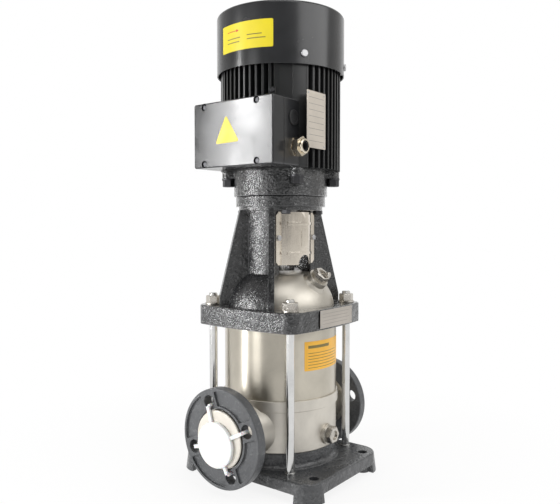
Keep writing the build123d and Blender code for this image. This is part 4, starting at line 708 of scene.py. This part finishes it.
# %% Printed rules
rules, given, out = new_group(
    "printed_rules", ("Rows", "Int", 4), ("Gap", "Float", 0.004), ("Length", "Float", 0.02),
    ("Height", "Float", 0.001), ("Lift", "Float", 0.0001), ("Shortest", "Float", 0.7),
    ("Seed", "Int", 1), ("Material", "Material", None))
down = add_step(rules, "ShaderNodeCombineXYZ")
gap = add_step(rules, "ShaderNodeMath", {0: given.outputs["Gap"]})
gap.operation = "MULTIPLY"
gap.inputs[1].default_value = -1.0
rules.links.new(gap.outputs[0], down.inputs["Y"])
rows = add_step(rules, "GeometryNodeMeshLine", {"Count": given.outputs["Rows"], "Offset": down.outputs[0]})
bar_size = add_step(rules, "ShaderNodeCombineXYZ",
                    {"X": given.outputs["Length"], "Y": given.outputs["Height"],
                     "Z": given.outputs["Lift"]})
bar = add_step(rules, "GeometryNodeMeshCube", {"Size": bar_size.outputs[0]}, Vertices_X=13)
half_length = add_step(rules, "ShaderNodeMath", {0: given.outputs["Length"]})
half_length.operation = "MULTIPLY"
half_length.inputs[1].default_value = 0.5
aside = add_step(rules, "ShaderNodeCombineXYZ", {"X": half_length.outputs[0]})
from_left = add_step(rules, "GeometryNodeTransform",
                     {"Geometry": bar.outputs["Mesh"], "Translation": aside.outputs[0]})
uneven = add_step(rules, "FunctionNodeRandomValue", {"Seed": given.outputs["Seed"]})
uneven.data_type = "FLOAT"
rules.links.new(given.outputs["Shortest"], uneven.inputs[2])
uneven.inputs[3].default_value = 1.0
reach_of_row = add_step(rules, "ShaderNodeCombineXYZ", {"X": uneven.outputs[1]}, Y=1.0, Z=1.0)
lines = add_step(rules, "GeometryNodeInstanceOnPoints",
                 {"Points": rows.outputs["Mesh"], "Instance": from_left.outputs[0],
                  "Scale": reach_of_row.outputs[0]})
close_group(rules, lines.outputs[0], given.outputs["Material"], out)


def print_rules(name, place, lift, s, t, rows, gap, length, height, material, shortest=0.7, seed=1):
    """Rows of rules on a sticker, from (s, t) to the right and down."""
    return grow(name, rules, {"Rows": rows, "Gap": gap, "Length": length, "Height": height, "Lift": 0.0001,
                              "Shortest": shortest, "Seed": seed, "Material": material},
                lambda x, y, z: place(s + x, t + y, lift + z))


rule_pieces = [
    print_rules("cowl_rules_left", cowl_place, paper, -0.031, -0.0015, 2, 0.0055, 0.026, 0.0013, ink_print,
                0.75, 3),
    print_rules("cowl_rules_right", cowl_place, paper, 0.006, 0.0, 2, 0.0055, 0.028, 0.0013, ink_print,
                0.6, 5),
    print_rules("sleeve_rules", sleeve_place, paper, -0.037, 0.004, 6, 0.0042, 0.072, 0.0008, ink_print,
                0.85, 2),
    print_rules("sleeve_heading", sleeve_place, paper, -0.037, 0.013, 1, 0.004, 0.042, 0.0042, ink_print,
                1.0, 2),
    print_rules("motor_rules", motor_place, motor_sheet, -0.018, 0.030, 8, 0.0085, 0.036, 0.0006, grey_print,
                1.0, 2),
    print_rules("head_rules", head_place, head_sheet, -0.036, 0.0075, 4, 0.0048, 0.072, 0.0006, grey_print,
                0.9, 4),
]
print("rules:", [len(o.data.polygons) for o in rule_pieces])

# %% Red arrow, which shows which way the shaft turns
arrow_level = 0.0085
arrow_half = 0.0025
arrow = print_rules("arrow_stem", cowl_place, paper, -0.031, arrow_level, 1, 0.001, 0.018, 0.0010,
                    red_print, 1.0, 1)


def arrow_place(s, t, lift):
    """Place on the cowl, with the strip's height narrowing to a tip on its right."""
    narrowed = (t * (arrow_half - s) / arrow_half) * 0.55
    return cowl_place(s - 0.0105, narrowed + arrow_level, lift)


arrow_head = sticker("arrow_head", 2, 2 * arrow_half, 2 * arrow_half, 0.0024, 0.0003,
                     arrow_place, red_print)
print("arrow:", arrow.name, arrow_head.name)

# %% Rivets of the two plates
rivets, given, out = new_group(
    "rivets", ("Width", "Float", 0.04), ("Height", "Float", 0.07), ("Across", "Int", 2), ("Down", "Int", 2),
    ("Radius", "Float", 0.0015), ("Material", "Material", None))
corners = add_step(rivets, "GeometryNodeMeshGrid",
                   {"Size X": given.outputs["Width"], "Size Y": given.outputs["Height"],
                    "Vertices X": given.outputs["Across"], "Vertices Y": given.outputs["Down"]})
dome = add_step(rivets, "GeometryNodeMeshUVSphere", {"Radius": given.outputs["Radius"]}, Segments=16, Rings=8)
heads = add_step(rivets, "GeometryNodeInstanceOnPoints",
                 {"Points": corners.outputs["Mesh"], "Instance": dome.outputs["Mesh"]},
                 Scale=(1.0, 1.0, 0.6))
close_group(rivets, heads.outputs[0], given.outputs["Material"], out)
motor_rivets = grow("motor_rivets", rivets, {"Width": 0.038, "Height": 0.071, "Material": zinc_steel},
                    lambda x, y, z: motor_place(x, y, motor_sheet + z))
head_rivets = grow("head_rivets", rivets,
                   {"Width": 0.078, "Height": 0.0195, "Radius": 0.001, "Material": zinc_steel},
                   lambda x, y, z: head_place(x, y, head_sheet + z))
print("rivets:", len(motor_rivets.data.polygons), len(head_rivets.data.polygons))

# %% Threads on the tails of the tie rods
rod_low, rod_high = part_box("tie_rods")
nut_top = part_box("tie_rod_nuts")[1].z
rod_spacing = 0.1452
thread_radius = 0.006
thread_pitch = 0.00175
thread_end = 0.0006
threads, given, out = new_group(
    "rod_threads", ("Spacing", "Float", rod_spacing), ("Radius", "Float", thread_radius),
    ("Turns", "Float", 2.0), ("Height", "Float", 0.003), ("Wire", "Float", 0.0004),
    ("Material", "Material", None))
places = add_step(threads, "GeometryNodeMeshGrid",
                  {"Size X": given.outputs["Spacing"], "Size Y": given.outputs["Spacing"]},
                  Vertices_X=2, Vertices_Y=2)
helix = add_step(threads, "GeometryNodeCurveSpiral", {"Rotations": given.outputs["Turns"],
                                                      "Start Radius": given.outputs["Radius"],
                                                      "End Radius": given.outputs["Radius"],
                                                      "Height": given.outputs["Height"]}, Resolution=32)
wire = add_step(threads, "GeometryNodeCurvePrimitiveCircle", {"Radius": given.outputs["Wire"]}, Resolution=6)
crest = add_step(threads, "GeometryNodeCurveToMesh",
                 {"Curve": helix.outputs[0], "Profile Curve": wire.outputs["Curve"]})
crest.inputs["Fill Caps"].default_value = True
tails = add_step(threads, "GeometryNodeInstanceOnPoints", {"Points": places.outputs["Mesh"],
                                                           "Instance": crest.outputs[0]})
close_group(threads, tails.outputs[0], given.outputs["Material"], out)
rod_radius = rod_high.x - rod_spacing / 2
tail = rod_high.z - nut_top
rod_threads = grow("rod_threads", threads,
                   {"Radius": min(rod_radius, thread_radius), "Turns": tail / thread_pitch - 0.6,
                    "Height": tail - 2 * thread_end, "Material": nut_steel},
                   lambda x, y, z: (x, y, nut_top + thread_end + z))
print("threads:", len(rod_threads.data.polygons), "tail", round(tail, 4))
